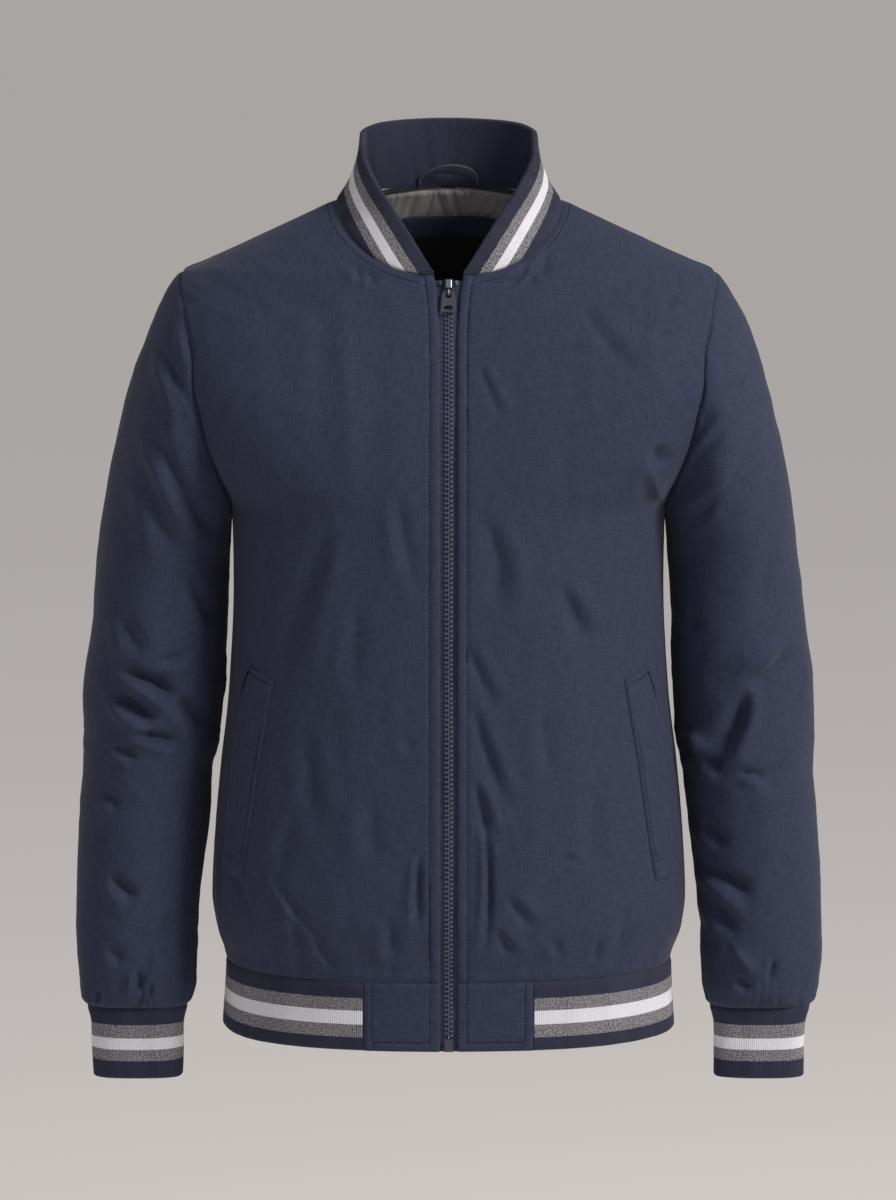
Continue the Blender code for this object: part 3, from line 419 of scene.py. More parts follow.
def threads(tree, source, across, along, turned):
    """Noise drawn out along one direction, as uneven threads are: its sizes across and along them."""
    scale = (1 / along, 1 / across, 1) if turned else (1 / across, 1 / along, 1)
    spread = add_node(tree, "Mapping", {"Scale": scale}, {"Vector": source})
    return add_node(tree, "TexNoise", {"Scale": 1.0, "Detail": 2.0, "Roughness": 0.6},
                    {"Vector": spread.outputs[0]}).outputs["Fac"]


def woven(name, dark, light, yarn, roughness, sheen, specular=0.15):
    """Plain weave: threads of uneven thickness both ways, lighter where they lie proud."""
    made, tree, shader = start_material(
        name, roughness, Sheen_Weight=sheen, Sheen_Roughness=0.45, Specular_IOR_Level=specular)
    source = add_node(tree, "TexCoord").outputs["UV"]
    warp = threads(tree, source, yarn, 18 * yarn, False)
    weft = threads(tree, source, yarn, 14 * yarn, True)
    both = add_node(tree, "Math", None, {0: warp, 1: weft}, operation="ADD")
    cloud = add_node(tree, "TexNoise", {"Scale": 55.0, "Detail": 3.0}, {"Vector": source})
    level = add_node(tree, "Math", {1: 0.15}, {0: cloud.outputs["Fac"], 2: both.outputs[0]},
                     operation="MULTIPLY_ADD")
    spread = add_node(tree, "MapRange", {"From Min": 0.72, "From Max": 1.42}, {"Value": level.outputs[0]})
    colour = add_node(tree, "Mix", {6: linear(dark), 7: linear(light)}, {0: spread.outputs[0]},
                      data_type="RGBA")
    tree.links.new(colour.outputs[2], shader.inputs["Base Color"])
    bump = add_node(tree, "Bump", {"Strength": 0.4, "Distance": 0.0003}, {"Height": both.outputs[0]})
    tree.links.new(bump.outputs[0], shader.inputs["Normal"])
    return made


def set_mesh(name, points, uv, groups, materials):
    """A mesh object from arrays. Each group is corner numbers, the same for the UV map, a material's
    number and whether it is smooth."""
    mesh = bpy.data.meshes.new(name)
    corners = np.concatenate([group[0].ravel() for group in groups])
    sides = np.concatenate([np.full(len(group[0]), group[0].shape[1]) for group in groups])
    mesh.vertices.add(len(points))
    mesh.vertices.foreach_set("co", points.astype(np.float32).ravel())
    mesh.loops.add(len(corners))
    mesh.loops.foreach_set("vertex_index", corners.astype(np.int32))
    mesh.polygons.add(len(sides))
    mesh.polygons.foreach_set("loop_start", (np.cumsum(sides) - sides).astype(np.int32))
    each = [np.full(len(group[0]), group[2], np.int32) for group in groups]
    mesh.polygons.foreach_set("material_index", np.concatenate(each))
    each = [np.full(len(group[0]), group[3], bool) for group in groups]
    mesh.polygons.foreach_set("use_smooth", np.concatenate(each))
    layer = mesh.uv_layers.new(name="UVMap")
    uv_corners = np.concatenate([group[1].ravel() for group in groups])
    layer.data.foreach_set("uv", uv[uv_corners].astype(np.float32).ravel())
    mesh.update(calc_edges=True)
    for surface in materials:
        mesh.materials.append(surface)
    made = bpy.data.objects.new(name, mesh)
    bpy.context.scene.collection.objects.link(made)
    return made


def quads(numbers):
    """Corner numbers of a grid's faces."""
    corners = [numbers[:-1, :-1], numbers[:-1, 1:], numbers[1:, 1:], numbers[1:, :-1]]
    return np.stack(corners, -1).reshape(-1, 4)


def lowest(relief, around=False):
    """The least relief among each point and its eight neighbours, so that the sparser inside of a
    cloth stays under every crease of its outside."""
    rows, columns = relief.shape
    padded = np.pad(np.pad(relief, ((1, 1), (0, 0)), "edge"), ((0, 0), (1, 1)), "wrap" if around else "edge")
    return np.min([padded[i:i + rows, j:j + columns] for i in range(3) for j in range(3)], axis=0)


def cloth_wall(name, outer, inner, uv, materials, around=False, open_row=None):
    """A closed wall of cloth between a fine outer grid and an inner grid of every second point.

    A rim's faces each join two steps of the outer grid's edge to one of the inner grid's. Where
    around is true the last column joins the first, and the UV map has one more column. Above
    open_row the middle column is the right side of a slit, whose left side is its mirror image.
    """
    rows, columns = outer.shape[:2]
    few_rows, few_columns = inner.shape[:2]
    middle = columns // 2
    points, places_on_cloth = [outer.reshape(-1, 3), inner.reshape(-1, 3)], [uv.reshape(-1, 2)]
    if open_row is not None:
        points += [outer[open_row + 1:, middle] * (-1, 1, 1),
                   inner[open_row // 2 + 1:, middle // 2] * (-1, 1, 1)]
        places_on_cloth += [uv[open_row + 1:, middle] * (-1, 1)]
    points, places_on_cloth = np.concatenate(points), np.concatenate(places_on_cloth)

    def faces(wrap):
        """The wall's outside, inside and rims, as point numbers, or as UV numbers if wrap is false."""
        own = columns if wrap or not around else columns + 1
        few = few_columns if wrap or not around else few_columns + 1
        a = np.arange(rows * own).reshape(rows, own)
        if wrap:
            b = rows * own + np.arange(few_rows * few).reshape(few_rows, few)
        else:
            b = a[::2, ::2]
        if wrap and around:
            a, b = np.hstack([a, a[:, :1]]), np.hstack([b, b[:, :1]])
        blocks = [(a, b)]
        if open_row is not None:
            count = a.size + b.size if wrap else a.size
            left_a, left_b = a[:, :middle + 1].copy(), b[:, :middle // 2 + 1].copy()
            left_a[open_row + 1:, middle] = count + np.arange(rows - open_row - 1)
            if wrap:
                count += rows - open_row - 1
                left_b[open_row // 2 + 1:, -1] = count + np.arange(few_rows - open_row // 2 - 1)
            else:
                left_b = left_a[::2, ::2]
            blocks = [(left_a, left_b), (a[:, middle:], b[:, middle // 2:])]
        (a, b), (end_a, end_b) = blocks[0], blocks[-1]
        edges = [(many[-1], some[-1]) for many, some in blocks]
        edges += [(many[0, ::-1], some[0, ::-1]) for many, some in blocks]
        if not around:
            edges += [(a[:, 0], b[:, 0]), (end_a[::-1, -1], end_b[::-1, -1])]
        if open_row is not None:
            edges += [(end_a[open_row:, 0], end_b[open_row // 2:, 0]),
                      (a[open_row:, -1][::-1], b[open_row // 2:, -1][::-1])]
        rims = [np.stack([many[:-2:2], many[1:-1:2], many[2::2], some[1:], some[:-1]], -1)
                for many, some in edges]
        return (np.concatenate([quads(many) for many, _ in blocks]),
                np.concatenate([quads(some) for _, some in blocks])[:, ::-1], np.concatenate(rims))

    numbers, uv_numbers = faces(True), faces(False)
    rising = outer[2::2, 2::2] - outer[:-2:2, :-2:2]
    falling = outer[2::2, :-2:2] - outer[:-2:2, 2::2]
    outwards = (outer[::2, ::2] - inner)[:rising.shape[0], :rising.shape[1]]
    if np.sum(np.cross(rising, falling) * outwards) < 0:
        numbers, uv_numbers = ([group[:, ::-1] for group in several] for several in (numbers, uv_numbers))
    groups = [(numbers[0], uv_numbers[0], 0, True), (numbers[1], uv_numbers[1], 1, True),
              (numbers[2], uv_numbers[2], 0, False)]
    return set_mesh(name, points, places_on_cloth, groups, materials)


def finish_piece(piece, node, slot, **cut):
    """Sets a piece on the jacket's body and hides the part of the imported model that it stands for. slot,
    what it is made of, and cut, how it was cut, are not used.
    """
    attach(piece, "jacket")
    if node:
        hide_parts(node)


# Matt cloth. Its threads are drawn 0.8 mm wide, coarser than real ones, so that they show.
shell = woven("Cotton nylon plain weave", "202536", "32384E", 0.0008, 0.80, 0.06)
# The lining is a smooth fabric, near black: partly its own colour and partly painted shade of the hollow
# inside, one even tone inside the neck and cuffs.
inside = plain_surface("Body lining", 0.60, "1B1B27")

panel_rows = np.concatenate([
    UNDERARM * places(0.36, CLOTH_PITCH, start=EDGE_PITCH),
    UNDERARM + (NECK - UNDERARM) * places(0.19, CLOTH_PITCH)[1:],
    NECK + (1 - NECK) * places(0.10, CLOTH_PITCH, end=EDGE_PITCH)[1:],
])
front_columns = places(0.25, CLOTH_PITCH, start=EDGE_PITCH, end=EDGE_PITCH)


def panel_seams(out, u, v, along, up, around, neck_start):
    """Leans a panel's outward directions to those of its seams, and finds how far each seam is."""
    to_side = along[:, -1:] - along
    to_shoulder, to_hem = up[-1:] - up, up
    out = lean(out, unit(out[:1] * (1, 1, 0)), to_hem)
    out = lean(out, np.array((1.0, 0, 0)), np.where(v <= UNDERARM, to_side, 1))
    share = np.clip(u[-1], 0, 1)[:, None]
    shoulder_out = unit(neckline_out(np.array(90.0)) * (1 - share) + armhole_out(np.array(0.0)) * share)
    out = lean(out, shoulder_out[None], to_shoulder)
    to_neck = np.where(v >= NECK, along, 1)
    out = lean(out, neckline_out(neckline_angle(v, neck_start)), to_neck)
    arm = armhole_angle(v, around)
    out = lean(out, armhole_out(arm), np.where(v >= UNDERARM, to_side, 1))
    return out, to_side, to_hem, to_shoulder, to_neck


def panel_relief(points, along, away, to_side, to_hem, to_neck, v, seed):
    """What lies on a whole panel: seam lines, their gathers, soft waves and a fine crumple."""
    x, z = points[..., 0], points[..., 2]
    relief = seam_line(away)
    relief += puckers(x, to_hem, 0.013, 0.0008, 0.016, seed)
    relief += np.where(v > UNDERARM, puckers(z, to_side, 0.017, 0.0006, 0.015, seed + 10), 0)
    relief += np.where(v > NECK, puckers(z, to_neck, 0.011, 0.0004, 0.010, seed + 20), 0)
    calm = soft_step(away / 0.012)
    waves = (0.0007 * mottle(along, z, 0.030, 0.110, seed + 30)
             + 0.0004 * mottle(along, z, 0.012, 0.050, seed + 31))
    low = 0.5 + 0.5 * soft_step((-0.42 - z) / 0.12)
    return relief + calm * (waves + 0.00055 * crumple(along, z, 0.020, seed + 40) * low)


u, v = np.meshgrid(front_columns, panel_rows)
front_flat = body(*panel_place(u, v, -1))
front_along, front_up = run_along(front_flat, 1), run_along(front_flat, 0)
front_across = front_flat[:, :1, 0] + run_along(front_flat * (1, 1, 0), 1)
front_rise = run_along(front_flat * (0, 1, 1), 0)
front_normals = body_out(*panel_place(u, v, -1))
front_out, to_side, to_hem, to_shoulder, to_neck = panel_seams(
    front_normals, u, v, front_along, front_up, -1, 0)
away = np.minimum.reduce([to_side, to_hem, to_shoulder, to_neck])
from_zip = np.where(v <= NECK, front_along, 1)
placket = np.where(v <= NECK + 0.01, front_along, 1)
front_area = float(np.sum(np.diff(front_along[:-1], axis=1) * np.diff(front_up[:, :-1], axis=0)))
front_flat_size = (float(front_along[:, -1].max()), float(front_up[-1].max()))
POCKET_WELT = table("height inner outer", [
    (-0.532, 0.1625, 0.1805),
    (-0.497, 0.1572, 0.1765),
    (-0.442, 0.1492, 0.1706),
    (-0.385, 0.1396, 0.1620),
    (-0.367, 0.1366, 0.1562),
])
top = int(np.argmin(np.abs(panel_rows - 0.78)))
fronts, front_points = {}, {}
for side, name, seed in ((1, "front_left", 11), (-1, "front_right", 211)):
    seen = front_flat * (side, 1, 1)
    facing = soft_step((0.25 - front_normals[..., 1]) / 0.5)
    quiet = soft_step(away / 0.010) * soft_step(from_zip / 0.006)
    relief = FOLD_DEPTH * folds_at(seen, FRONT_FOLDS, facing) * quiet
    relief += panel_relief(seen, front_along, away, to_side, to_hem, to_neck, v, seed)
    relief -= GROOVE_DEPTH * np.exp(-(from_zip / GROOVE_WIDTH) ** 2)
    relief -= GROOVE_DEPTH * np.exp(-((placket - PLACKET_STITCH) / GROOVE_WIDTH) ** 2)
    relief[top:] -= 0.0008 * stitched_down(front_flat[top:], below_neck(np.linspace(8, 90, 240)))
    relief += 0.0004 * np.exp(-((placket - PLACKET_STITCH / 2) / 0.0028) ** 2)
    relief += puckers(seen[..., 2], np.abs(placket - PLACKET_STITCH), 0.010, 0.00035, 0.006, seed + 50)
    into_welt = seen[..., 0] * side - read(POCKET_WELT, "inner", seen[..., 2])
    beside = soft_step((seen[..., 2] + 0.545) / 0.01) * soft_step((-0.358 - seen[..., 2]) / 0.01)
    relief -= 0.0003 * np.exp(-((into_welt + 0.0008) / 0.0012) ** 2) * beside * (seen[..., 2] < -0.3)
    past_welt = seen[..., 0] * side - read(POCKET_WELT, "outer", seen[..., 2])
    relief -= 0.0016 * np.exp(-((past_welt - 0.0004) / 0.0013) ** 2) * beside * (seen[..., 2] < -0.3)
    outer = (front_flat + relief[..., None] * front_out) * (side, 1, 1)
    inside_of = front_flat + (lowest(relief) - SHELL_WALL)[..., None] * front_out
    inner = (inside_of * (side, 1, 1))[::2, ::2]
    uv = stack(front_across, front_rise)
    piece = cloth_wall(name + "_cloth", outer, inner, uv, [shell, inside])
    finish_piece(piece, name, "shell_fabric", flat=front_flat_size, held="hung",
                 rests_on=["back_cloth"], area=front_area)
    fronts[side], front_points[side] = piece, outer

# ---- Back -------------------------------------------------------------------------------------
# One panel of the same cloth, from side seam to side seam and up to the shoulder seams and the
# collar. It hangs plainly, with long soft drapes from the shoulder blades into the waist.

BACK_FOLDS = table("x z end_x end_z bow half_width depth ridge", [
    (0.1500, -0.1500, 0.0700, -0.3900, 0.012, 0.012, 0.0030, 1),
    (0.1300, -0.2600, 0.0400, -0.4500, 0.010, 0.010, 0.0024, 1),
    (-0.1450, -0.1700, -0.0600, -0.4200, -0.012, 0.012, 0.0028, -1),
    (-0.1350, -0.3000, -0.0500, -0.4800, -0.008, 0.009, 0.0022, -1),
    (0.0850, -0.4400, 0.0800, -0.5950, 0.003, 0.008, 0.0026, 1),
    (-0.0700, -0.4600, -0.0820, -0.5950, 0.002, 0.007, 0.0024, -1),
    (0.0200, -0.4900, 0.0300, -0.5950, 0.002, 0.008, 0.0016, 1),
    (-0.0200, -0.5200, -0.0150, -0.5950, 0.001, 0.006, 0.0014, 1),
    (0.1350, -0.5100, 0.1200, -0.5950, 0.002, 0.006, 0.0020, -1),
    (-0.1400, -0.5000, -0.1250, -0.5950, 0.002, 0.006, 0.0018, 1),
    (0.0600, -0.0300, 0.0900, -0.1100, 0.003, 0.007, 0.0012, 1),
    (-0.0650, -0.0350, -0.1000, -0.1200, 0.003, 0.007, 0.0012, -1),
    (0.0000, -0.1000, 0.0050, -0.3000, 0.004, 0.012, 0.0012, 1),
])

BACK_PITCH = 0.0028

half = places(0.27, BACK_PITCH, end=EDGE_PITCH)
back_rows = np.concatenate([
    UNDERARM * places(0.36, BACK_PITCH, start=EDGE_PITCH),
    UNDERARM + (NECK - UNDERARM) * places(0.22, BACK_PITCH)[1:],
    NECK + (1 - NECK) * places(0.11, BACK_PITCH, end=EDGE_PITCH)[1:],
])
u, v = np.meshgrid(np.concatenate([-half[:0:-1], half]), back_rows)
mirror = stack(np.where(u < 0, -1, 1), 1, 1)
right_half = half.size - 1
half_flat = body(*panel_place(np.abs(u), v, 1))
half_out = body_out(*panel_place(np.abs(u), v, 1))
neck_row = int(np.argmin(np.abs(back_rows - NECK)))
half_out[:neck_row + 1, right_half] = unit(half_out[:neck_row + 1, right_half] * (0, 1, 1))
half_along = run_along(half_flat[:, right_half:], 1)
half_along = np.hstack([half_along[:, :0:-1], half_along])
back_up = run_along(half_flat, 0)
out, to_side, to_hem, to_shoulder, to_neck = panel_seams(
    half_out, np.abs(u), v, half_along, back_up, 1, 180)
away = np.minimum.reduce([to_side, to_hem, to_shoulder, to_neck])
seen = half_flat * mirror
facing = soft_step((0.25 + half_out[..., 1]) / 0.5) * soft_step((0.000 - seen[..., 2]) / 0.05)
signed = half_along * mirror[..., 0]
relief = FOLD_DEPTH * folds_at(seen, BACK_FOLDS, facing) * soft_step(away / 0.010)
relief += panel_relief(seen, signed, away, to_side, to_hem, to_neck, v, 411)
outer = (half_flat + relief[..., None] * out) * mirror
inner = ((half_flat + (lowest(relief) - SHELL_WALL)[..., None] * out) * mirror)[::2, ::2]
back_area = float(np.sum(np.diff(signed[:-1], axis=1) * np.diff(back_up[:, :-1], axis=0)))
back_points, back_out = outer, out * mirror
threads_across = half_flat[:, right_half, None, 0] + run_along(half_flat[:, right_half:] * (1, 1, 0), 1)
threads_across = np.hstack([threads_across[:, :0:-1], threads_across]) * mirror[..., 0]
uv = stack(threads_across, run_along(half_flat * (0, 1, 1), 0))
back = cloth_wall("back_cloth", outer, inner, uv, [shell, inside], open_row=neck_row)
finish_piece(back, "back", "shell_fabric",
             flat=(2 * float(half_along[:, -1].max()), float(back_up[-1].max())), held="hung",
             rests_on=["collar_rib"], area=back_area)

# ---- Sleeves ----------------------------------------------------------------------------------
# Set-in sleeves of the same cloth, each one tube with a seam under the arm, eased into the armhole
# and gathered into the cuff. They hang with drapes from the shoulder and creases at the elbow.

UPPER_ARM = -0.300
CUFF_TOP = -0.6445
SLEEVE = table("height x half_width y half_depth power", [
    (-0.6445, 0.2505, 0.0410, -0.0125, 0.0240, 2.5),
    (-0.6390, 0.2508, 0.0436, -0.0120, 0.0300, 2.2),
    (-0.6300, 0.2508, 0.0457, -0.0110, 0.0360, 2.0),
    (-0.6020, 0.2516, 0.0480, -0.0070, 0.0440, 2.0),
    (-0.5540, 0.2498, 0.0497, -0.0020, 0.0500, 2.0),
    (-0.5000, 0.2452, 0.0516, 0.0050, 0.0550, 2.0),
    (-0.4580, 0.2417, 0.0517, 0.0090, 0.0590, 2.0),
    (-0.4320, 0.2390, 0.0545, 0.0120, 0.0620, 2.0),
    (-0.3870, 0.2365, 0.0563, 0.0150, 0.0665, 2.0),
    (-0.3400, 0.2325, 0.0540, 0.0165, 0.0700, 2.0),
    (-0.3000, 0.2298, 0.0528, 0.0170, 0.0720, 2.0),
])
# How the sleeve leaves the armhole: at the shoulder point, in front, underarm and behind.
SLEEVE_HEAD = table("out across down pull end_pull", [
    (0.72, 0.00, -0.69, 0.055, 0.080),
    (0.52, -0.26, -0.81, 0.055, 0.050),
    (0.10, 0.00, -1.00, 0.018, 0.018),
    (0.56, 0.26, -0.79, 0.055, 0.050),
])
SLEEVE_FRONT_FOLDS = table("x z end_x end_z bow half_width depth ridge", [
    (-0.2281, -0.1080, -0.1980, -0.1700, 0.000, 0.0050, 0.0026, 1),
    (-0.2835, -0.6440, -0.2790, -0.6270, 0.001, 0.0017, 0.0014, 1),
    (-0.2500, -0.6440, -0.2440, -0.6250, 0.002, 0.0016, 0.0015, 1),
    (-0.2455, -0.6440, -0.2350, -0.6190, 0.001, 0.0017, 0.0015, 1),
    (-0.2545, -0.6330, -0.2400, -0.6130, 0.001, 0.0016, 0.0010, 1),
    (-0.2360, -0.1655, -0.1767, -0.2730, 0.004, 0.0070, 0.0034, 1),
    (-0.2399, -0.2014, -0.2080, -0.2900, 0.003, 0.0070, 0.0026, 1),
    (-0.2162, -0.1337, -0.1960, -0.1750, 0.000, 0.0040, -0.0014, 1),
    (-0.2123, -0.0900, -0.2044, -0.1300, 0.000, 0.0040, -0.0012, 1),
    (-0.2044, -0.2890, -0.1850, -0.3400, 0.002, 0.0060, 0.0024, 1),
    (-0.2597, -0.3200, -0.2430, -0.3600, 0.000, 0.0060, 0.0024, 1),
    (-0.2640, -0.3680, -0.2100, -0.3950, -0.003, 0.0052, 0.0056, 1),
    (-0.2700, -0.3850, -0.2280, -0.4120, 0.001, 0.0055, 0.0056, 1),
    (-0.2540, -0.4210, -0.2100, -0.4300, -0.002, 0.0042, 0.0034, 1),
    (-0.2700, -0.4310, -0.2450, -0.4390, 0.000, 0.0042, 0.0028, 1),
    (-0.2300, -0.3620, -0.2060, -0.3560, 0.002, 0.0040, 0.0020, 1),
    (-0.2150, -0.3900, -0.1930, -0.4180, 0.000, 0.0060, 0.0036, 1),
    (-0.2720, -0.5330, -0.2460, -0.5540, 0.001, 0.0052, 0.0034, 1),
    (-0.2780, -0.4700, -0.2600, -0.4790, 0.000, 0.0050, 0.0022, 1),
    (-0.2740, -0.5900, -0.2580, -0.6050, 0.000, 0.0050, 0.0018, 1),
    (-0.2478, -0.6080, -0.2470, -0.6320, 0.000, 0.0034, 0.0022, 1),
    (-0.2320, -0.5900, -0.2380, -0.6250, 0.000, 0.0034, -0.0012, 1),
    (-0.2180, -0.5600, -0.2300, -0.5950, 0.002, 0.0050, 0.0014, 1),
    (0.1827, -0.2412, 0.2400, -0.1760, 0.006, 0.0042, -0.0005, 1),
    (0.1850, -0.2560, 0.2330, -0.1900, 0.006, 0.0068, 0.0017, -1),
    (0.2380, -0.1321, 0.2196, -0.1510, 0.000, 0.0030, 0.0014, 1),
    (0.1804, -0.2053, 0.2262, -0.1430, 0.002, 0.0040, -0.0016, 1),
    (0.2000, -0.2600, 0.2262, -0.1934, 0.000, 0.0100, -0.0020, 1),
    (0.1906, -0.3200, 0.1990, -0.3420, 0.000, 0.0040, 0.0018, 1),
    (0.2760, -0.3500, 0.2340, -0.3860, -0.004, 0.0085, 0.0038, 1),
    (0.2380, -0.3800, 0.2060, -0.4480, -0.004, 0.0062, 0.0056, -1),
    (0.1930, -0.4180, 0.2060, -0.4400, 0.000, 0.0050, -0.0032, 1),
    (0.2000, -0.4440, 0.2190, -0.4480, 0.000, 0.0045, 0.0036, 1),
    (0.2280, -0.4515, 0.2520, -0.4540, -0.001, 0.0038, 0.0020, 1),
    (0.2000, -0.4900, 0.2200, -0.5140, 0.000, 0.0050, 0.0026, 1),
    (0.1980, -0.5280, 0.2440, -0.5530, -0.002, 0.0060, 0.0042, 1),
    (0.2080, -0.5500, 0.2310, -0.5860, 0.001, 0.0052, 0.0030, 1),
    (0.2240, -0.5880, 0.2480, -0.6180, 0.000, 0.0040, -0.0022, 1),
    (0.2280, -0.6160, 0.2410, -0.6290, 0.000, 0.0034, 0.0024, 1),
    (0.2610, -0.6000, 0.2550, -0.6220, 0.000, 0.0034, 0.0022, 1),
    (0.2700, -0.4400, 0.2500, -0.4700, 0.003, 0.0080, 0.0014, 1),
    (0.2600, -0.2700, 0.2450, -0.3300, 0.002, 0.0080, 0.0012, 1),
])
SLEEVE_BACK_FOLDS = table("x z end_x end_z bow half_width depth ridge", [
    (0.2350, -0.1300, 0.1850, -0.2500, 0.004, 0.0080, 0.0034, 1),
    (0.2500, -0.1800, 0.1950, -0.3200, 0.004, 0.0080, 0.0030, 1),
    (0.2750, -0.3500, 0.2100, -0.3900, -0.003, 0.0060, 0.0040, 1),
    (0.2700, -0.3900, 0.2200, -0.4150, 0.002, 0.0055, 0.0044, 1),
    (0.2600, -0.4350, 0.2050, -0.4300, 0.002, 0.0050, 0.0034, 1),
    (0.2200, -0.5300, 0.2600, -0.5600, 0.002, 0.0060, 0.0028, 1),
    (0.2500, -0.5900, 0.2300, -0.6200, 0.000, 0.0045, 0.0024, 1),
    (-0.2350, -0.1200, -0.1900, -0.2300, -0.004, 0.0080, 0.0030, -1),
    (-0.2520, -0.2000, -0.2000, -0.3400, -0.004, 0.0080, 0.0034, -1),
    (-0.2700, -0.3600, -0.2150, -0.3850, 0.003, 0.0060, 0.0042, -1),
    (-0.2720, -0.3980, -0.2200, -0.4250, -0.002, 0.0055, 0.0040, -1),
    (-0.2250, -0.4400, -0.2650, -0.4500, 0.002, 0.0050, 0.0028, -1),
    (-0.2700, -0.5450, -0.2300, -0.5600, 0.002, 0.0060, 0.0026, -1),
    (-0.2400, -0.5850, -0.2550, -0.6200, 0.000, 0.0045, 0.0024, 1),
])


def bezier(t, p0, p1, p2, p3):
    """Cubic curve from p0 to p3, pulled towards p1 and p2."""
    t = t[..., None]
    return p0 * (1 - t) ** 3 + 3 * p1 * t * (1 - t) ** 2 + 3 * p2 * t * t * (1 - t) + p3 * t ** 3


def ring(rows, angle, height):
    """A level superellipse round the arm, cos and sin to the power 2 / power: 0 outside, 90 in front."""
    bend = 2 / read(rows, "power", height)
    waves = np.cos(np.radians(angle)), np.sin(np.radians(angle))
    across, ahead = (np.sign(wave) * np.abs(wave) ** bend for wave in waves)
    x = read(rows, "x", height) + read(rows, "half_width", height) * across
    return stack(x, read(rows, "y", height) - read(rows, "half_depth", height) * ahead, height)


def sleeve_head(angle, t):
    """From the armhole to the upper arm's ring, one cubic for each angle round the armhole."""
    a = np.radians(angle)
    shares = [np.clip(wave, 0, 1) ** 2 for wave in (np.cos(a), np.sin(a), -np.cos(a), -np.sin(a))]
    out, across, down, pull, end_pull = (
        sum(share * value for share, value in zip(shares, values)) for values in SLEEVE_HEAD.values())
    start, end = armhole(angle), ring(SLEEVE, angle, UPPER_ARM + 0 * a)
    leave = start + pull[..., None] * unit(stack(out, across, down))
    arrive = end - end_pull[..., None] * unit(ring(SLEEVE, angle, UPPER_ARM - 0.01 + 0 * a) - end)
    return bezier(t, start, leave, arrive, end)


def sleeve_surface(angle, w):
    """A sleeve at (angle, w): w from 0 to 1 down the head, then on to 2 at the cuff seam."""
    height = UPPER_ARM + (CUFF_TOP - UPPER_ARM) * np.clip(w - 1, 0, 1)
    return np.where((w < 1)[..., None], sleeve_head(angle, np.clip(w, 0, 1)), ring(SLEEVE, angle, height))


def facing_out(surface, a, b, step, like):
    """Unit normals of a surface of two parameters, on the side that like points to."""
    along_a = surface(a + step, b) - surface(a - step, b)
    along_b = surface(a, b + 1e-3) - surface(a, b - 1e-3)
    out = unit(np.cross(along_a, along_b))
    return out * np.sign(np.sum(out * like, axis=-1, keepdims=True))


SLEEVE_COLUMNS = 192
turns = np.linspace(0, 360, SLEEVE_COLUMNS, endpoint=False)
down_sleeve = np.concatenate([
    places(0.23, 0.0024, start=EDGE_PITCH), 1 + places(0.35, 0.0024, end=0.0012)[1:]])
angle, w = np.meshgrid(turns, down_sleeve)
sleeve_flat = sleeve_surface(angle, w)
from_middle = sleeve_flat - sleeve_flat.mean(axis=1, keepdims=True)
sleeve_normals = facing_out(sleeve_surface, angle, np.clip(w, 0.002, 1.998), 0.5, from_middle)
down = run_along(sleeve_flat, 0)
closed = np.concatenate([sleeve_flat, sleeve_flat[:, :1]], 1)
round_arm = run_along(closed, 1)
to_cuff = down[-1:] - down
out = lean(sleeve_normals, armhole_out(angle), down)
out = lean(out, unit(sleeve_normals[-1:] * (1, 1, 0)), to_cuff)
under_seam = np.abs(round_arm[:, :-1] - round_arm[:, SLEEVE_COLUMNS // 2, None])
away = np.minimum(np.minimum(down, to_cuff), under_seam)
calm = soft_step(np.minimum(down / 0.012, to_cuff / 0.006))
ahead = soft_step((0.30 - sleeve_normals[..., 1]) / 0.6)
level_row = int(np.argmin(np.abs(down_sleeve - 1)))
level_up = down[level_row] - down
sleeve_area = float(np.sum(np.diff(round_arm[:-1], axis=1) * np.diff(down, axis=0)))
for side, name, seed in ((1, "sleeve_left", 611), (-1, "sleeve_right", 811)):
    seen = sleeve_flat * (side, 1, 1)
    relief = folds_at(seen, SLEEVE_FRONT_FOLDS, ahead) + folds_at(seen, SLEEVE_BACK_FOLDS, 1 - ahead)
    relief *= FOLD_DEPTH
    x, z = seen[..., 0], seen[..., 2]
    elbow = np.exp(-((z + 0.42) / 0.07) ** 2) + 0.8 * np.exp(-((z + 0.60) / 0.045) ** 2)
    inner_side = 0.35 + 0.65 * soft_step((0.245 - np.abs(x)) / 0.03)
    relief += (0.0007 + 0.0014 * elbow * inner_side) * crumple(x, z, 0.026, seed)
    relief += 0.0011 * mottle(x + sleeve_flat[..., 1], z, 0.030, 0.055, seed + 5)
    relief = relief * calm + seam_line(away)
    around = np.radians(angle) * 0.05
    relief += np.minimum(puckers(around, to_cuff, 0.0135, 0.0028, 0.016, seed + 10), 0.0004)
    relief += puckers(around, down, 0.017, 0.0007, 0.014, seed + 20)
    outer = (sleeve_flat + relief[..., None] * out) * (side, 1, 1)
    inside_of = sleeve_flat + (lowest(relief, around=True) - SHELL_WALL)[..., None] * out
    inner = (inside_of * (side, 1, 1))[::2, ::2]
    uv = stack(round_arm[level_row], np.hstack([level_up, level_up[:, :1]]))
    sleeve = cloth_wall(name + "_cloth", outer, inner, uv, [shell, inside], around=True)
    finish_piece(sleeve, name, "shell_fabric",
                 flat=(float(round_arm[:, -1].max()), float(down[-1].max())), held="hung",
                 rests_on=["back_cloth"], area=sleeve_area)

# ---- Collar -----------------------------------------------------------------------------------
# A doubled band of 1x1 rib knit, folded along its top edge, with a white stripe between two grey
# marled ones knitted in near the fold. It stands up and leans back from the zip.

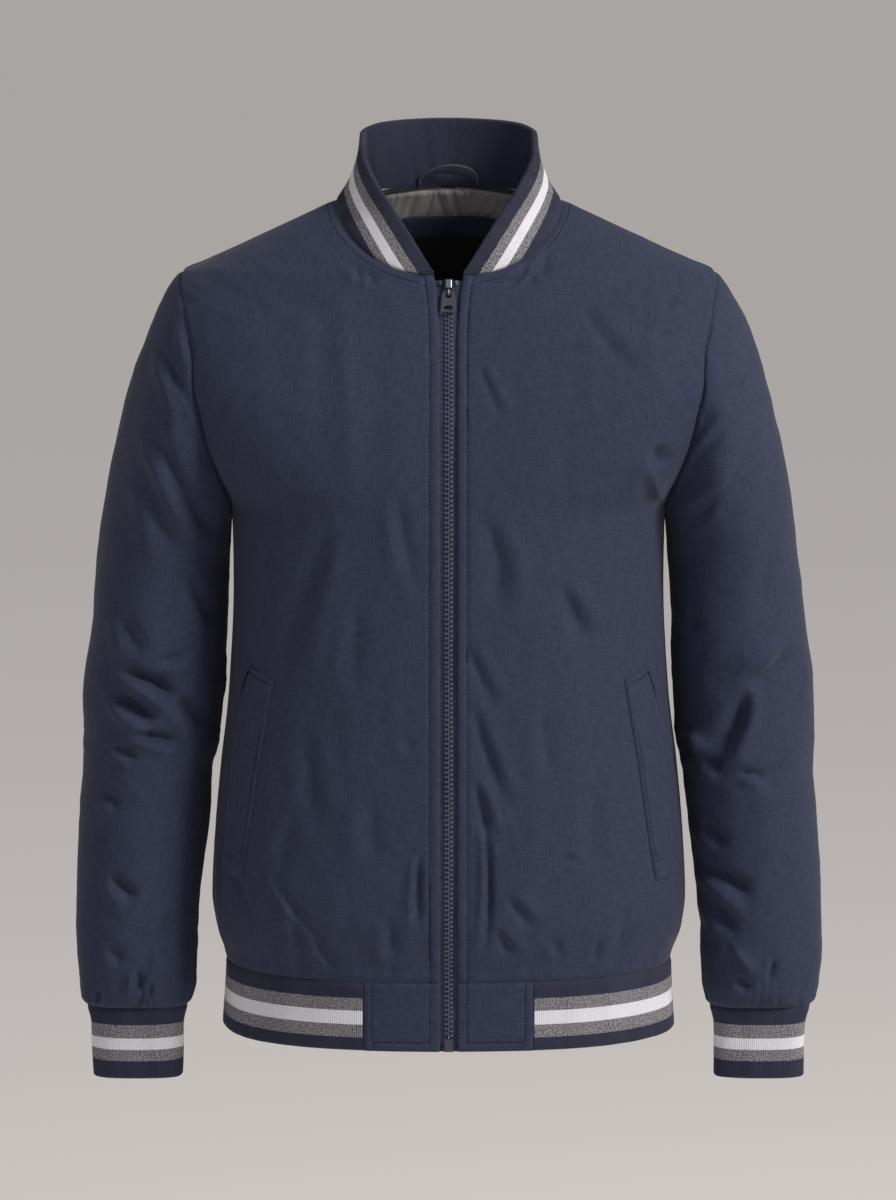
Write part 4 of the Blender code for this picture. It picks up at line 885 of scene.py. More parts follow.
RIB_PITCH = 0.0015
COLUMNS_PER_RIB = 4
COLLAR_WALL = 0.0045
COLLAR_FOLD = table("neckline x y z", [
    (0, 0.0125, -0.0760, -0.0520),
    (37, 0.0295, -0.0660, -0.0250),
    (59, 0.0425, -0.0520, -0.0060),
    (80, 0.0570, -0.0360, 0.0145),
    (105, 0.0700, -0.0120, 0.0400),
    (122, 0.0708, 0.0130, 0.0528),
    (140, 0.0612, 0.0370, 0.0588),
    (158, 0.0395, 0.0560, 0.0620),
    (170, 0.0180, 0.0639, 0.0631),
    (176, 0.0072, 0.0657, 0.0634),
    (180, 0.0000, 0.0660, 0.0634),
])
COLLAR_BOW = 0.0015
COLLAR_DEPTH = 0.057
# How deep the stitches draw a rib band in at its seam.
RIB_SEAM_DIP = 0.00088
NAVY, MARL, WHITE = "292B3C", "66656A", "CACAD1"
COLLAR_BANDS = [(0.0, NAVY), (0.0125, MARL), (0.0199, WHITE), (0.0279, MARL), (0.0345, NAVY)]


def collar_surface(angle, w):
    """The collar's outer face: straight from the neck seam, at w 0, to the fold, at 1, and bowed out
    by 4 w (1 - w) times the bow."""
    seam = neckline(angle)
    fold = stack(*(read(COLLAR_FOLD, axis, angle, "neckline") for axis in "xyz"))
    bow = COLLAR_BOW * 4 * w * (1 - w) * np.minimum(angle / 40, 1)
    return seam + (fold - seam) * w[..., None] + bow[..., None] * neckline_out(angle)


def collar_out(angle, w):
    """Outward directions of the collar's outer face, which lean to the neck seam's own at its foot."""
    out = facing_out(
        collar_surface, np.clip(angle, 1, 179.99), np.clip(w, 0.001, 0.999), 0.2, neckline_out(angle))
    out = np.where(np.isclose(angle, 180)[..., None], unit(out * (0, 1, 1)), out)
    return unit(out + (neckline_out(angle) - out) * np.exp(-(w / 0.08) ** 2)[..., None])


def evenly(line, count):
    """Places from 0 to 1 along a line of points, evenly spaced by its length."""
    run = np.insert(np.cumsum(np.linalg.norm(np.diff(line, axis=0), axis=-1)), 0, 0)
    return np.interp(np.linspace(0, run[-1], count), run, np.linspace(0, 1, len(line))), run[-1]


def doubled(straight_rows, thickness, length):
    """A doubled band's section: share of its length and depth under its outer face, down the outside,
    half round the fold and back up the inside."""
    radius = thickness / 2 / length
    theta = np.linspace(0, math.pi, 8)[1:-1]
    straight = np.linspace(0, 1 - radius, straight_rows)
    share = np.concatenate([straight, 1 - radius + radius * np.sin(theta), straight[::-1]])
    depth = np.concatenate([0 * straight, thickness / 2 * (1 - np.cos(theta)), thickness + 0 * straight])
    return share[:, None], depth[:, None, None]


def grid_normals(points, around):
    """Unit normals of a grid of points, from the steps between its neighbours."""
    if around:
        points = np.concatenate([points[:, -1:], points, points[:, :1]], 1)
    normals = unit(np.cross(np.gradient(points, axis=1), np.gradient(points, axis=0)))
    return normals[:, 1:-1] if around else normals


def rib_band(name, points, from_fold, materials, around=False):
    """Presses ribs into a doubled band and closes it: at the seam from its last row to its first and,
    where it has ends, from each outer row straight to the inner one behind it."""
    rows, columns = points.shape[:2]
    column = np.arange(columns)
    beat = np.cos(2 * math.pi * column / COLUMNS_PER_RIB)
    uneven = 1 + 0.35 * mottle(column * 0.4, np.arange(rows)[:, None] * 0.5, 9, 7, 31)
    seam = np.abs(np.arange(rows) - (rows - 1) / 2) / ((rows - 1) / 2)
    share = (1 - 0.6 * soft_step((seam - 0.93) / 0.07))[:, None]
    normals = grid_normals(points, around)
    inside_first = np.sum(normals[0] * (points[0] - points[-1])) < 0
    relief = 0.00030 * beat * uneven * share * (-1 if inside_first else 1)
    points = points + relief[..., None] * normals
    across = np.arange(columns + around) * RIB_PITCH / COLUMNS_PER_RIB
    if around:
        from_fold = np.hstack([from_fold, from_fold[:, :1]])
    uv = stack(across + 0 * from_fold, from_fold)

    def faces(wrap):
        """The band's face, foot and ends, as point numbers, or as UV numbers if wrap is false."""
        own = columns if wrap or not around else columns + 1
        a = np.arange(rows * own).reshape(rows, own)
        if wrap and around:
            a = np.hstack([a, a[:, :1]])
        foot = np.stack([a[-1, :-1], a[-1, 1:], a[0, 1:], a[0, :-1]], -1)
        ends = []
        if not around:
            half = rows // 2
            for edge in (a[:, 0], a[::-1, -1]):
                facing = edge[::-1]
                ends.append(np.stack([edge[:half - 1], edge[1:half], facing[1:half], facing[:half - 1]], -1))
        return [quads(a), foot] + ends

    groups = [[numbers, uv_numbers, 0, smooth_it] for numbers, uv_numbers, smooth_it
              in zip(faces(True), faces(False), (True, False, False, False))]
    for group in groups[1:]:
        group[1] = np.broadcast_to(group[1][:, :1], group[1].shape)
    if inside_first:
        groups = [(numbers[:, ::-1], uv_numbers[:, ::-1], slot, smooth_it)
                  for numbers, uv_numbers, slot, smooth_it in groups]
    return set_mesh(name, points.reshape(-1, 3), uv.reshape(-1, 2), groups, materials)


def knitted(name, bands, plain=NAVY):
    """1x1 rib knit with its stripes: the bands start at distances up the UV map's second axis.

    It is a soft matt yarn. The marled bands are spun from light and dark fibres, drawn as specks
    about 1.5 by 1.1 mm, coarser than real ones, so that they show.
    """
    made, tree, shader = start_material(
        name, 0.85, Sheen_Weight=0.12, Sheen_Roughness=0.5, Specular_IOR_Level=0.15)
    source = add_node(tree, "TexCoord").outputs["UV"]
    axes = add_node(tree, "SeparateXYZ", None, {0: source})
    span = 0.2
    place = add_node(tree, "Math", {1: 1 / span, 2: 0.5}, {0: axes.outputs[1]}, operation="MULTIPLY_ADD")
    ramps = []
    for marled in (False, True):
        ramp = add_node(tree, "ValToRGB", None, {0: place.outputs[0]})
        ramp.color_ramp.interpolation = "CONSTANT"
        elements = ramp.color_ramp.elements
        elements[0].position, elements[1].position = 0, 0.999
        for element in elements:
            element.color = (0, 0, 0, 1) if marled else linear(plain)
        for start, code in bands:
            colour = (float(code == MARL),) * 3 + (1,) if marled else linear(code)
            elements.new(0.5 + start / span).color = colour
        ramps.append(ramp.outputs[0])
    fibres = add_node(tree, "Mapping", {"Scale": (1 / 0.0015, 1 / 0.0011, 1)}, {"Vector": source})
    speckle = add_node(tree, "TexNoise", {"Scale": 1.0, "Detail": 3.0, "Roughness": 0.7},
                       {0: fibres.outputs[0]})
    spread = add_node(tree, "MapRange", {"From Min": 0.35, "From Max": 0.65, "To Min": 0.22, "To Max": 2.2},
                      {"Value": speckle.outputs["Fac"]})
    marl = add_node(tree, "VectorMath", None, {0: ramps[0], 1: spread.outputs[0]}, operation="MULTIPLY")
    colour = add_node(tree, "Mix", None, {0: ramps[1], 6: ramps[0], 7: marl.outputs[0]}, data_type="RGBA")
    soft = add_node(tree, "MapRange", {"From Min": 0.3, "From Max": 0.7, "To Min": 0.86, "To Max": 1.10},
                    {"Value": speckle.outputs["Fac"]})
    final = add_node(tree, "VectorMath", None, {0: colour.outputs[2], 1: soft.outputs[0]},
                     operation="MULTIPLY")
    tree.links.new(final.outputs[0], shader.inputs["Base Color"])
    bump = add_node(tree, "Bump", {"Strength": 0.5, "Distance": 0.0003}, {"Height": speckle.outputs["Fac"]})
    tree.links.new(bump.outputs[0], shader.inputs["Normal"])
    return made


half_angles = np.linspace(0, 180, 721)
middle_line = collar_surface(half_angles, 0.5 + 0 * half_angles)
_, half_length = evenly(middle_line, 2)
half_ribs = round(half_length / RIB_PITCH)
where, _ = evenly(middle_line, half_ribs * COLUMNS_PER_RIB + 1)
angles = np.concatenate([180 * where, 180 * where[-2::-1]])
side_of = stack(np.repeat((1, -1), (len(where), len(where) - 1)), 1, 1)
share, depth = doubled(13, COLLAR_WALL, COLLAR_DEPTH)
angle, w = np.meshgrid(angles, share[:, 0])
out = collar_out(angle, w)
points = collar_surface(angle, w) - depth * (0.25 + 0.75 * soft_step(angle / 16))[..., None] * out
lap = 0.0009 * mottle(angle / 57, w, 0.35, 0.6, 77) * soft_step(w / 0.25) * soft_step(angle / 8)
drawn = RIB_SEAM_DIP * np.exp(-(w / 0.03) ** 2) * (depth[..., 0] == 0)
points = points + (lap - drawn)[..., None] * out
run = run_along(points, 0)
fold_run = (run[len(share) // 2 - 1] + run[len(share) // 2]) / 2
collar = rib_band("collar_rib", points * side_of, fold_run - run, [knitted("Collar rib knit", COLLAR_BANDS)])
finish_piece(collar, "collar", "rib_knit", flat=(2 * half_length, COLLAR_DEPTH), held="stretched",
             rests_on=["back_cloth"])

# ---- Hem --------------------------------------------------------------------------------------
# The same rib, doubled, sewn to the fronts and the back and ending at a plain panel of the shell
# cloth beside the zip on either side. It draws the body in, so the cloth above it blouses.

RIB_WALL = 0.003
HEM_PANEL_EDGE = 0.0675
HEM_BOTTOM = -0.662
HEM_DEPTH = RIB_TOP - HEM_BOTTOM
PANEL_STITCH = 0.0072
HEM_BANDS = [(-0.10, NAVY), (-0.0450, MARL), (-0.0345, WHITE), (-0.0242, MARL), (-0.0137, NAVY)]


def level_out(turn, height):
    """The body's outward direction with its rise taken out."""
    return unit(body_out(turn, height) * (1, 1, 0))


def hem_line(share, height):
    """Turn along the hem rib, from the panel's edge to the middle of the back."""
    edge = turn_at(HEM_PANEL_EDGE, height)
    return edge + (180 - edge) * share


middle_height = RIB_TOP - HEM_DEPTH / 2
coarse = np.linspace(0, 1, 721)
middle_line = body(hem_line(coarse, middle_height + 0 * coarse), middle_height + 0 * coarse)
_, half_length = evenly(middle_line, 2)
half_ribs = round(half_length / RIB_PITCH)
where, _ = evenly(middle_line, half_ribs * COLUMNS_PER_RIB + 1)
along_half = np.concatenate([where, where[-2::-1]])
side_of = stack(np.repeat((1, -1), (len(where), len(where) - 1)), 1, 1)
share, depth = doubled(12, RIB_WALL, HEM_DEPTH)
part, w = np.meshgrid(along_half, share[:, 0])
height = RIB_TOP - HEM_DEPTH * w
turn = hem_line(part, height)
out = level_out(turn, height)
out[:, len(where) - 1] = (0, 1, 0)
flat = body(turn, height) - depth * out
signed = (part * side_of[None, :, 0]) * half_length
lap = 0.0010 * mottle(signed, w, 0.045, 0.9, 91) * soft_step(w / 0.4)
drawn = RIB_SEAM_DIP * np.exp(-(w * HEM_DEPTH / 0.0017) ** 2) * (depth[..., 0] == 0)
points = flat + (lap - drawn)[..., None] * out
run = run_along(points, 0)
hem = rib_band("hem_rib_knit", points * side_of, -run, [knitted("Hem rib knit", HEM_BANDS)])
finish_piece(hem, "hem_rib", "rib_knit", flat=(2 * half_length, HEM_DEPTH), held="stretched",
             rests_on=["back_cloth"])

rise = places(HEM_DEPTH, 0.0016, start=EDGE_PITCH, end=EDGE_PITCH)
across = places(0.061, 0.0014, end=EDGE_PITCH)
part, w = np.meshgrid(across, rise)
height = HEM_BOTTOM + HEM_DEPTH * w
start = turn_at(read(OPENING, "half_gap", height), height)
turn = start + (turn_at(HEM_PANEL_EDGE, height) - start) * part
flat, hem_panel_out = body(turn, height), level_out(turn, height)
from_zip, from_foot = run_along(flat, 1), height - HEM_BOTTOM
to_edge, to_top = from_zip[:, -1:] - from_zip, RIB_TOP - height
for side, name, seed in ((1, "hem_panel_left", 1011), (-1, "hem_panel_right", 1111)):
    relief = seam_line(np.minimum(to_edge, to_top))
    for line, away in ((PLACKET_STITCH, from_zip), (PANEL_STITCH, to_edge), (PANEL_STITCH, from_foot)):
        relief -= 0.0004 * np.exp(-((away - line) / 0.0011) ** 2)
        relief += puckers(height, np.abs(away - line), 0.009, 0.0003, 0.005, seed)
    relief -= 0.0009 * np.exp(-(from_foot / 0.0011) ** 2) + 0.0009 * np.exp(-(from_zip / 0.0010) ** 2)
    relief += 0.0006 * mottle(from_zip * side, height, 0.018, 0.010, seed + 5) * soft_step(to_top / 0.01)
    relief += puckers(from_zip, to_top, 0.010, 0.0006, 0.010, seed + 8)
    outer = (flat + relief[..., None] * hem_panel_out) * (side, 1, 1)
    inner = (outer - SHELL_WALL * hem_panel_out * (side, 1, 1))[::2, ::2]
    panel = cloth_wall(name + "_cloth", outer, inner, stack(from_zip, height), [shell, shell])
    finish_piece(panel, name, "shell_fabric", flat=(float(from_zip[:, -1].max()), HEM_DEPTH),
                 held="hung", rests_on=[fronts[side].name])
    fronts[side, "hem"] = outer

# ---- Cuffs ------------------------------------------------------------------------------------
# Two short tubes of the same doubled rib, folded along the lower edge. Each is smaller round than
# the sleeve sewn to it, so it gathers the sleeve in.

CUFF_BOTTOM = -0.7025
CUFF_DEPTH = CUFF_TOP - CUFF_BOTTOM
CUFF_MIDDLE = -0.673
CUFF = table("height x half_width y half_depth power", [
    (-0.7025, 0.2503, 0.0358, -0.0135, 0.0200, 2.6),
    (-0.6610, 0.2505, 0.0367, -0.0130, 0.0209, 2.6),
    (-0.6525, 0.2504, 0.0383, -0.0127, 0.0219, 2.6),
    (-0.6445, 0.2505, 0.0410, -0.0125, 0.0240, 2.5),
])
CUFF_BANDS = [(-0.10, NAVY), (-0.0443, MARL), (-0.0346, WHITE), (-0.0250, MARL), (-0.0146, NAVY)]

coarse = np.linspace(0, 360, 1441)
middle_line = ring(CUFF, coarse, CUFF_MIDDLE + 0 * coarse)
_, girth = evenly(middle_line, 2)
ribs = round(girth / RIB_PITCH)
where, _ = evenly(middle_line, ribs * COLUMNS_PER_RIB + 1)
share, depth = doubled(14, RIB_WALL, CUFF_DEPTH)
angle, w = np.meshgrid(360 * where[:-1], share[:, 0])
height = CUFF_TOP - CUFF_DEPTH * w
step = ring(CUFF, angle + 1, height) - ring(CUFF, angle - 1, height)
out = unit(stack(-step[..., 1], step[..., 0], 0))
flat = ring(CUFF, angle, height) - depth * out
cuff_knit = knitted("Cuff rib knit", CUFF_BANDS)
for side, name, seed in ((1, "cuff_left", 41), (-1, "cuff_right", 43)):
    round_it = np.sin(np.radians(angle)) + w, np.cos(np.radians(angle))
    lap = 0.0010 * mottle(*round_it, 0.6, 0.6, seed) * soft_step(w / 0.4)
    drawn = RIB_SEAM_DIP * np.exp(-(w * CUFF_DEPTH / 0.0017) ** 2) * (depth[..., 0] == 0)
    points = flat + (lap - drawn)[..., None] * out
    run = run_along(points, 0)
    cuff = rib_band(name + "_knit", points * (side, 1, 1), -run, [cuff_knit], around=True)
    finish_piece(cuff, name, "rib_knit", flat=(girth, CUFF_DEPTH), held="stretched",
                 rests_on=["back_cloth"])

# ---- Pockets ----------------------------------------------------------------------------------
# A slanted welt on each front: a folded strip of the shell cloth, sewn down on its inner edge and
# at both ends, that stands a little proud and has creased across.

WELT_THICKNESS = 0.0022
WELT_BOTTOM, WELT_TOP = 0.532, 0.367  # below the origin
WELT_WIDTH = 0.0195
WELT_LENGTH = 0.169


def on_grid(grid, rows, columns, row_at, column_at):
    """A grid's points between its own: straight along both axes. rows and columns are its places."""
    i = np.clip(np.searchsorted(rows, row_at) - 1, 0, len(rows) - 2)
    j = np.clip(np.searchsorted(columns, column_at) - 1, 0, len(columns) - 2)
    s = ((row_at - rows[i]) / (rows[i + 1] - rows[i]))[..., None]
    t = ((column_at - columns[j]) / (columns[j + 1] - columns[j]))[..., None]
    low = grid[i, j] * (1 - t) + grid[i, j + 1] * t
    high = grid[i + 1, j] * (1 - t) + grid[i + 1, j + 1] * t
    return low * (1 - s) + high * s


def front_place(x, height):
    """A front's row and column under a point seen from ahead, below the underarm: the turn there gives
    the column, and the height, less the row's own rise to the side, gives the row."""
    start = turn_at(read(OPENING, "half_gap", height), height)
    column = (turn_at(x, height) - start) / (90 - start)
    top = MIDDLE_AT_UNDERARM + (UNDERARM_HEIGHT - MIDDLE_AT_UNDERARM) * soft_step(column)
    return UNDERARM * (height - RIB_TOP) / (top - RIB_TOP), column


part, w = np.meshgrid(np.linspace(0, 1, 17), np.linspace(0, 1, 101))
height = -WELT_BOTTOM + (WELT_BOTTOM - WELT_TOP) * w + (part - 0.5) * (0.004 + 0.004 * w)
inner_x, outer_x = read(POCKET_WELT, "inner", height), read(POCKET_WELT, "outer", height)
rows_at, columns_at = front_place(inner_x + (outer_x - inner_x) * part, height)
edge = np.minimum(np.minimum(part, 1 - part) * WELT_WIDTH, np.minimum(w, 1 - w) * 0.167)
swell = np.sqrt(np.clip(1 - (1 - np.clip(edge / 0.0018, 0, 1)) ** 2, 0, 1))
welts, under_welt = {}, {}
for side, name, seed in ((1, "pocket_welt_left", 1211), (-1, "pocket_welt_right", 1311)):
    under = on_grid(front_points[side], panel_rows, front_columns, rows_at, columns_at)
    normal = on_grid(front_out * (side, 1, 1), panel_rows, front_columns, rows_at, columns_at)
    slanted = height + 0.35 * 0.02 * part * side
    creased = np.clip(mottle(slanted, part, 0.0085, 0.9, seed), 0, 1) * np.sin(math.pi * np.clip(part, 0, 1))
    lift = 0.0002 + WELT_THICKNESS * swell - 0.0015 * creased * (0.4 + 0.6 * (w < 0.6)) * swell
    lift += 0.0012 * soft_step((part - 0.2) / 0.8) * np.sin(math.pi * w)
    lift -= 0.0005 * np.exp(-((part * WELT_WIDTH - 0.0024) / 0.0008) ** 2) * swell
    outer = under + lift[..., None] * unit(normal)
    inner = (under + 0.0001 * unit(normal))[::2, ::2]
    welt = cloth_wall(name + "_cloth", outer, inner, stack(part * WELT_WIDTH, height), [shell, shell])
    finish_piece(welt, name, "shell_fabric",
                 flat=(float(run_along(under, 1)[:, -1].mean()), WELT_LENGTH), held="laid",
                 rests_on=[fronts[side].name])
    welts[side], under_welt[side] = outer, under

# The pocket's mouth behind each welt's outer edge: a narrow strip coloured near black as painted shade of the
# opening.
pocket_mouth_painted_shade = plain_surface("Pocket mouth, painted shade", 0.90, "0D0E15", Specular_IOR_Level=0.05)
part, w = np.meshgrid(np.linspace(0, 1, 5), np.linspace(0, 1, 101))
height = -0.530 + (0.530 - 0.363) * w
gape = 0.0024 * (0.45 + 0.55 * w) * soft_step(np.minimum(w, 1 - w) / 0.03)
rows_at, columns_at = front_place(read(POCKET_WELT, "outer", height) - 0.0006 + gape * part, height)
for side, name in ((1, "pocket_mouth_left"), (-1, "pocket_mouth_right")):
    under = on_grid(front_points[side], panel_rows, front_columns, rows_at, columns_at)
    normal = unit(on_grid(front_out * (side, 1, 1), panel_rows, front_columns, rows_at, columns_at))
    mouth = cloth_wall(name, under + 0.0005 * normal, (under - 0.0004 * normal)[::2, ::2],
                       stack(gape * part, height), [pocket_mouth_painted_shade, pocket_mouth_painted_shade])
    finish_piece(mouth, None, "lining_satin")

# ---- Topstitching -----------------------------------------------------------------------------
# Lockstitch in near-black thread, darker than the cloth: partly its own colour and partly painted shade of
# the stitch grooves. It runs beside the zip, under the collar, round the hem panels, and on each pocket welt
# along its inner edge and across its top end. Each stitch dips into the cloth at both ends, and is thicker
# than real thread so that it shows.

STITCH_LENGTH = 0.0023
STITCH_PITCH = 0.0029
THREAD_RADIUS = 0.00040

# Spun polyester is matt. The thread's near-black colour is partly painted shade of the stitch grooves, so
# each stitch shows as a short dark dash.
thread = plain_surface("Polyester thread", 0.80, "0B0C13", Specular_IOR_Level=0.1)


def set_along(name, shape, faces, middles, along, out, surface):
    """Copies of one small shape, each at its middle with its own axes: along, across and out."""
    across = np.cross(out, along)
    axes = np.stack([across, along, out], 1)
    points = middles[:, None] + np.einsum("pi,nij->npj", shape, axes)
    first = (np.arange(len(middles)) * len(shape))[:, None, None]
    groups = [((first + group[None]).reshape(-1, group.shape[1]),) * 2 + (0, True) for group in faces]
    uv = np.tile(shape[:, :2], (len(middles), 1))
    return set_mesh(name, points.reshape(-1, 3), uv, groups, [surface])


def beads(line, out, pitch):
    """Middles, directions and outward directions of things set every pitch along a line."""
    run = np.insert(np.cumsum(np.linalg.norm(np.diff(line, axis=0), axis=-1)), 0, 0)
    at = np.arange(pitch / 2, run[-1], pitch)
    middles = np.stack([np.interp(at, run, line[:, axis]) for axis in range(3)], -1)
    ahead = np.stack([np.interp(at + 1e-4, run, line[:, axis]) for axis in range(3)], -1)
    normals = unit(np.stack([np.interp(at, run, out[:, axis]) for axis in range(3)], -1))
    along = unit(ahead - middles)
    return middles, along, unit(normals - np.sum(normals * along, -1, keepdims=True) * along)


def laid_on(line, grid, out):
    """A line moved onto a surface: along the nearest grid point's normal, onto the plane there."""
    flat, normals = grid.reshape(-1, 3), out.reshape(-1, 3)
    nearest = np.argmin(np.sum((line[:, None] - flat) ** 2, axis=-1), axis=1)
    normals = unit(normals[nearest])
    return line - np.sum((line - flat[nearest]) * normals, -1, keepdims=True) * normals, normals


sides = 6
spin = np.arange(sides) * 2 * math.pi / sides
ends = [(-1.0, 0.25, -0.9), (-0.6, 1.0, 0.0), (0.6, 1.0, 0.0), (1.0, 0.25, -0.9)]
stitch = np.concatenate([
    stack(radius * THREAD_RADIUS * np.cos(spin), reach * STITCH_LENGTH / 2,
          THREAD_RADIUS * (radius * np.sin(spin) + sink)) for reach, radius, sink in ends])
numbers = np.arange(4 * sides).reshape(4, sides)
numbers = np.hstack([numbers, numbers[:, :1]])
stitch_faces = [quads(numbers), np.stack([numbers[0, -2::-1], numbers[3, :-1]])]


def beside_zip(height):
    """The topstitching's place beside the zip, at these heights."""
    return body(turn_at(read(OPENING, "half_gap", height) + PLACKET_STITCH, height), height)


lines = []
for side in (1, -1):
    mirror = (side, 1, 1)
    front, hem_panel, welt = front_points[side], fronts[side, "hem"], welts[side]
    heights = np.linspace(-0.062, RIB_TOP - 0.001, 220)
    lines.append(laid_on(beside_zip(heights) * mirror, front, front_out * mirror))
    angles = np.linspace(8, 89, 60)
    lines.append(laid_on(below_neck(angles) * mirror, front, front_out * mirror))
    angles = np.linspace(91, 180, 60)
    lines.append(laid_on(below_neck(angles) * mirror, back_points, back_out))
    heights = np.linspace(RIB_TOP - 0.001, HEM_BOTTOM + PANEL_STITCH, 30)
    lines.append(laid_on(beside_zip(heights) * mirror, hem_panel, hem_panel_out * mirror))
    lines.append(laid_on(body(turn_at(HEM_PANEL_EDGE - PANEL_STITCH, heights), heights) * mirror,
                         hem_panel, hem_panel_out * mirror))
    across = np.linspace(0.0067 + PLACKET_STITCH, HEM_PANEL_EDGE - PANEL_STITCH, 40)
    height = HEM_BOTTOM + PANEL_STITCH + 0 * across
    lines.append(laid_on(body(turn_at(across, height), height) * mirror, hem_panel, hem_panel_out * mirror))
    inner_edge = welt[12:76, 2]
    lines.append((inner_edge, np.broadcast_to(unit(welt[50, 8] - under_welt[side][50, 8]), inner_edge.shape)))
    end = welt[-4, 2:-1]
    lines.append((end, np.broadcast_to(unit(welt[50, 8] - under_welt[side][50, 8]), end.shape)))
middles, along, out = (np.concatenate(several) for several in zip(
    *(beads(line, normals, STITCH_PITCH) for line, normals in lines)))
stitches = set_along("topstitching", stitch, stitch_faces, middles, along, out, thread)
finish_piece(stitches, None, "shell_fabric")

# ---- Zip --------------------------------------------------------------------------------------
# Two woven tapes behind the fronts' edges, each with a row of moulded teeth, closed by an enamelled
# metal slider. Its pull hangs from a wire staple and swings on it.

CHAIN_SETBACK = 0.001
TAPE_OUTER = 0.0125
TAPE_TOP = -0.0585
TOOTH_PITCH = 0.00375
SLIDER_HEIGHT = -0.0650
SLIDER_SIZE = (0.0084, 0.0026, 0.0150)
SLIDER_FACE = -0.0008
ZIP_BOX_HEIGHT = 0.010

tape_cloth = woven("Zip tape", "1E2130", "3A3E52", 0.0007, 0.70, 0.15)
# Moulded teeth have a low even shine. Enamel over zinc is darker and half metallic. The crown, the staple and
# one stop carry a painted highlight in a brighter zinc, and the slider's recessed body carries painted shade
# in a darker enamel.
teeth_surface = plain_surface("Moulded polyacetal teeth", 0.42, "3C4052", Specular_IOR_Level=0.5)
metal = plain_surface("Enamelled zinc", 0.42, "3A3D4C", Metallic=0.45, Specular_IOR_Level=0.6)
painted_highlight_zinc = plain_surface("Zinc, painted highlight", 0.30, "787B8A", Metallic=0.8)
shaded = plain_surface("Enamelled zinc, painted shade", 0.55, "1C1E28", Metallic=0.45, Specular_IOR_Level=0.4)


def zip_place(across, height, depth):
    """A point of the zip: across from its middle line, and depth behind it."""
    return body(0 * height, height) + stack(across, 0, 0) - depth[..., None] * body_out(0 * height, height)


run = RIB_TOP - TAPE_TOP
heights = np.concatenate([np.linspace(HEM_BOTTOM, RIB_TOP, 31), np.linspace(RIB_TOP, TAPE_TOP, 291)[1:]])
across = np.linspace(0.0002, TAPE_OUTER, 15)
x, height = np.meshgrid(across, heights)
for side, name, seed in ((1, "zip_tape_left", 1411), (-1, "zip_tape_right", 1421)):
    cord = 0.0006 * np.exp(-((x - 0.0023) / 0.0009) ** 2)
    ripple = 0.0002 * mottle(x, height, 0.006, 0.012, seed)
    outer = zip_place(side * x, height, SHELL_WALL + 0.0008 - cord - ripple)
    inner = zip_place(side * x, height, SHELL_WALL + 0.0017 + 0 * x)[::2, ::2]
    tape = cloth_wall(name + "_weave", outer, inner, stack(x, height), [tape_cloth, tape_cloth])
    finish_piece(tape, name, "zip_tape", flat=(TAPE_OUTER - 0.0002, TAPE_TOP - HEM_BOTTOM),
                 held="hung", rests_on=[fronts[side].name])

# A tooth from its foot on the tape to the tip of its head, which reaches past the middle between two
# of the other row's.
TOOTH = table("across half_height front", [
    (0.00330, 0.00110, -0.0003),
    (0.00240, 0.00118, 0.0),
    (0.00125, 0.00068, -0.0001),
    (0.00030, 0.00086, 0.0),
    (-0.00055, 0.00072, -0.0001),
    (-0.00095, 0.00035, -0.0005),
])
section = np.array([(-1, -0.0022), (-1, -0.0006), (-0.55, 0.0), (0.55, 0.0), (1, -0.0006), (1, -0.0022)])
tooth = stack(TOOTH["across"][:, None], TOOTH["half_height"][:, None] * section[:, 0],
              TOOTH["front"][:, None] + section[:, 1] - CHAIN_SETBACK).reshape(-1, 3)
numbers = np.arange(36).reshape(6, 6)
numbers = np.hstack([numbers, numbers[:, :1]])
tooth_faces = [quads(numbers)[:, ::-1], np.stack([numbers[0, :-1], numbers[5, -2::-1]])]
chain_top = SLIDER_HEIGHT - SLIDER_SIZE[2] / 2 + 0.001
chain_bottom = HEM_BOTTOM + ZIP_BOX_HEIGHT + 0.0012
heights = np.linspace(chain_top, chain_bottom, 400)
line, out = body(0 * heights, heights), body_out(0 * heights, heights)
middles, along, out = beads(line, out, TOOTH_PITCH / 2)
along = along * np.where(np.arange(len(along)) % 2, -1, 1)[:, None]
teeth = set_along("zip_teeth", tooth, tooth_faces, middles, along, out, teeth_surface)
finish_piece(teeth, "zip_chain", "moulded_teeth")

# The slider's outline: wide where the two rows of teeth part, narrow where they leave it closed.
SLIDER = table("up half_width", [
    (-0.0075, 0.0027),
    (-0.0069, 0.0034),
    (-0.0020, 0.0036),
    (0.0030, 0.0041),
    (0.0060, 0.0042),
    (0.0071, 0.0036),
    (0.0075, 0.0026),
])
up = np.interp(np.linspace(0, 1, 15), np.linspace(0, 1, 7), SLIDER["up"])
half_width = read(SLIDER, "half_width", up, "up")
edge = np.concatenate([stack(half_width, up), stack(-half_width, up)[::-1]])
middle = body(np.array(0.0), np.array(SLIDER_HEIGHT))
outwards = body_out(np.array(0.0), np.array(SLIDER_HEIGHT))
upwards = np.cross(outwards, (-1.0, 0, 0))
rings = [(1.0, SLIDER_SIZE[1]), (1.0, 0.0007), (0.94, 0.0002), (0.84, 0.0)]
points = np.concatenate([
    middle + stack(edge[:, 0] * scale, 0, 0) + edge[:, 1:] * scale * upwards
    - (SLIDER_FACE + depth) * outwards for scale, depth in rings])
numbers = np.arange(4 * len(edge)).reshape(4, -1)
numbers = np.hstack([numbers, numbers[:, :1]])
groups = [(quads(numbers),) * 2 + (0, False),
          (np.stack([numbers[3, :-1], numbers[0, -2::-1]]),) * 2 + (0, False)]
# The slider's body takes the enamel darkened with painted shade.
slider = set_mesh("zip_slider_body", points, points[:, ::2], groups, [shaded])
finish_piece(slider, "zip_slider", "plated_metal")
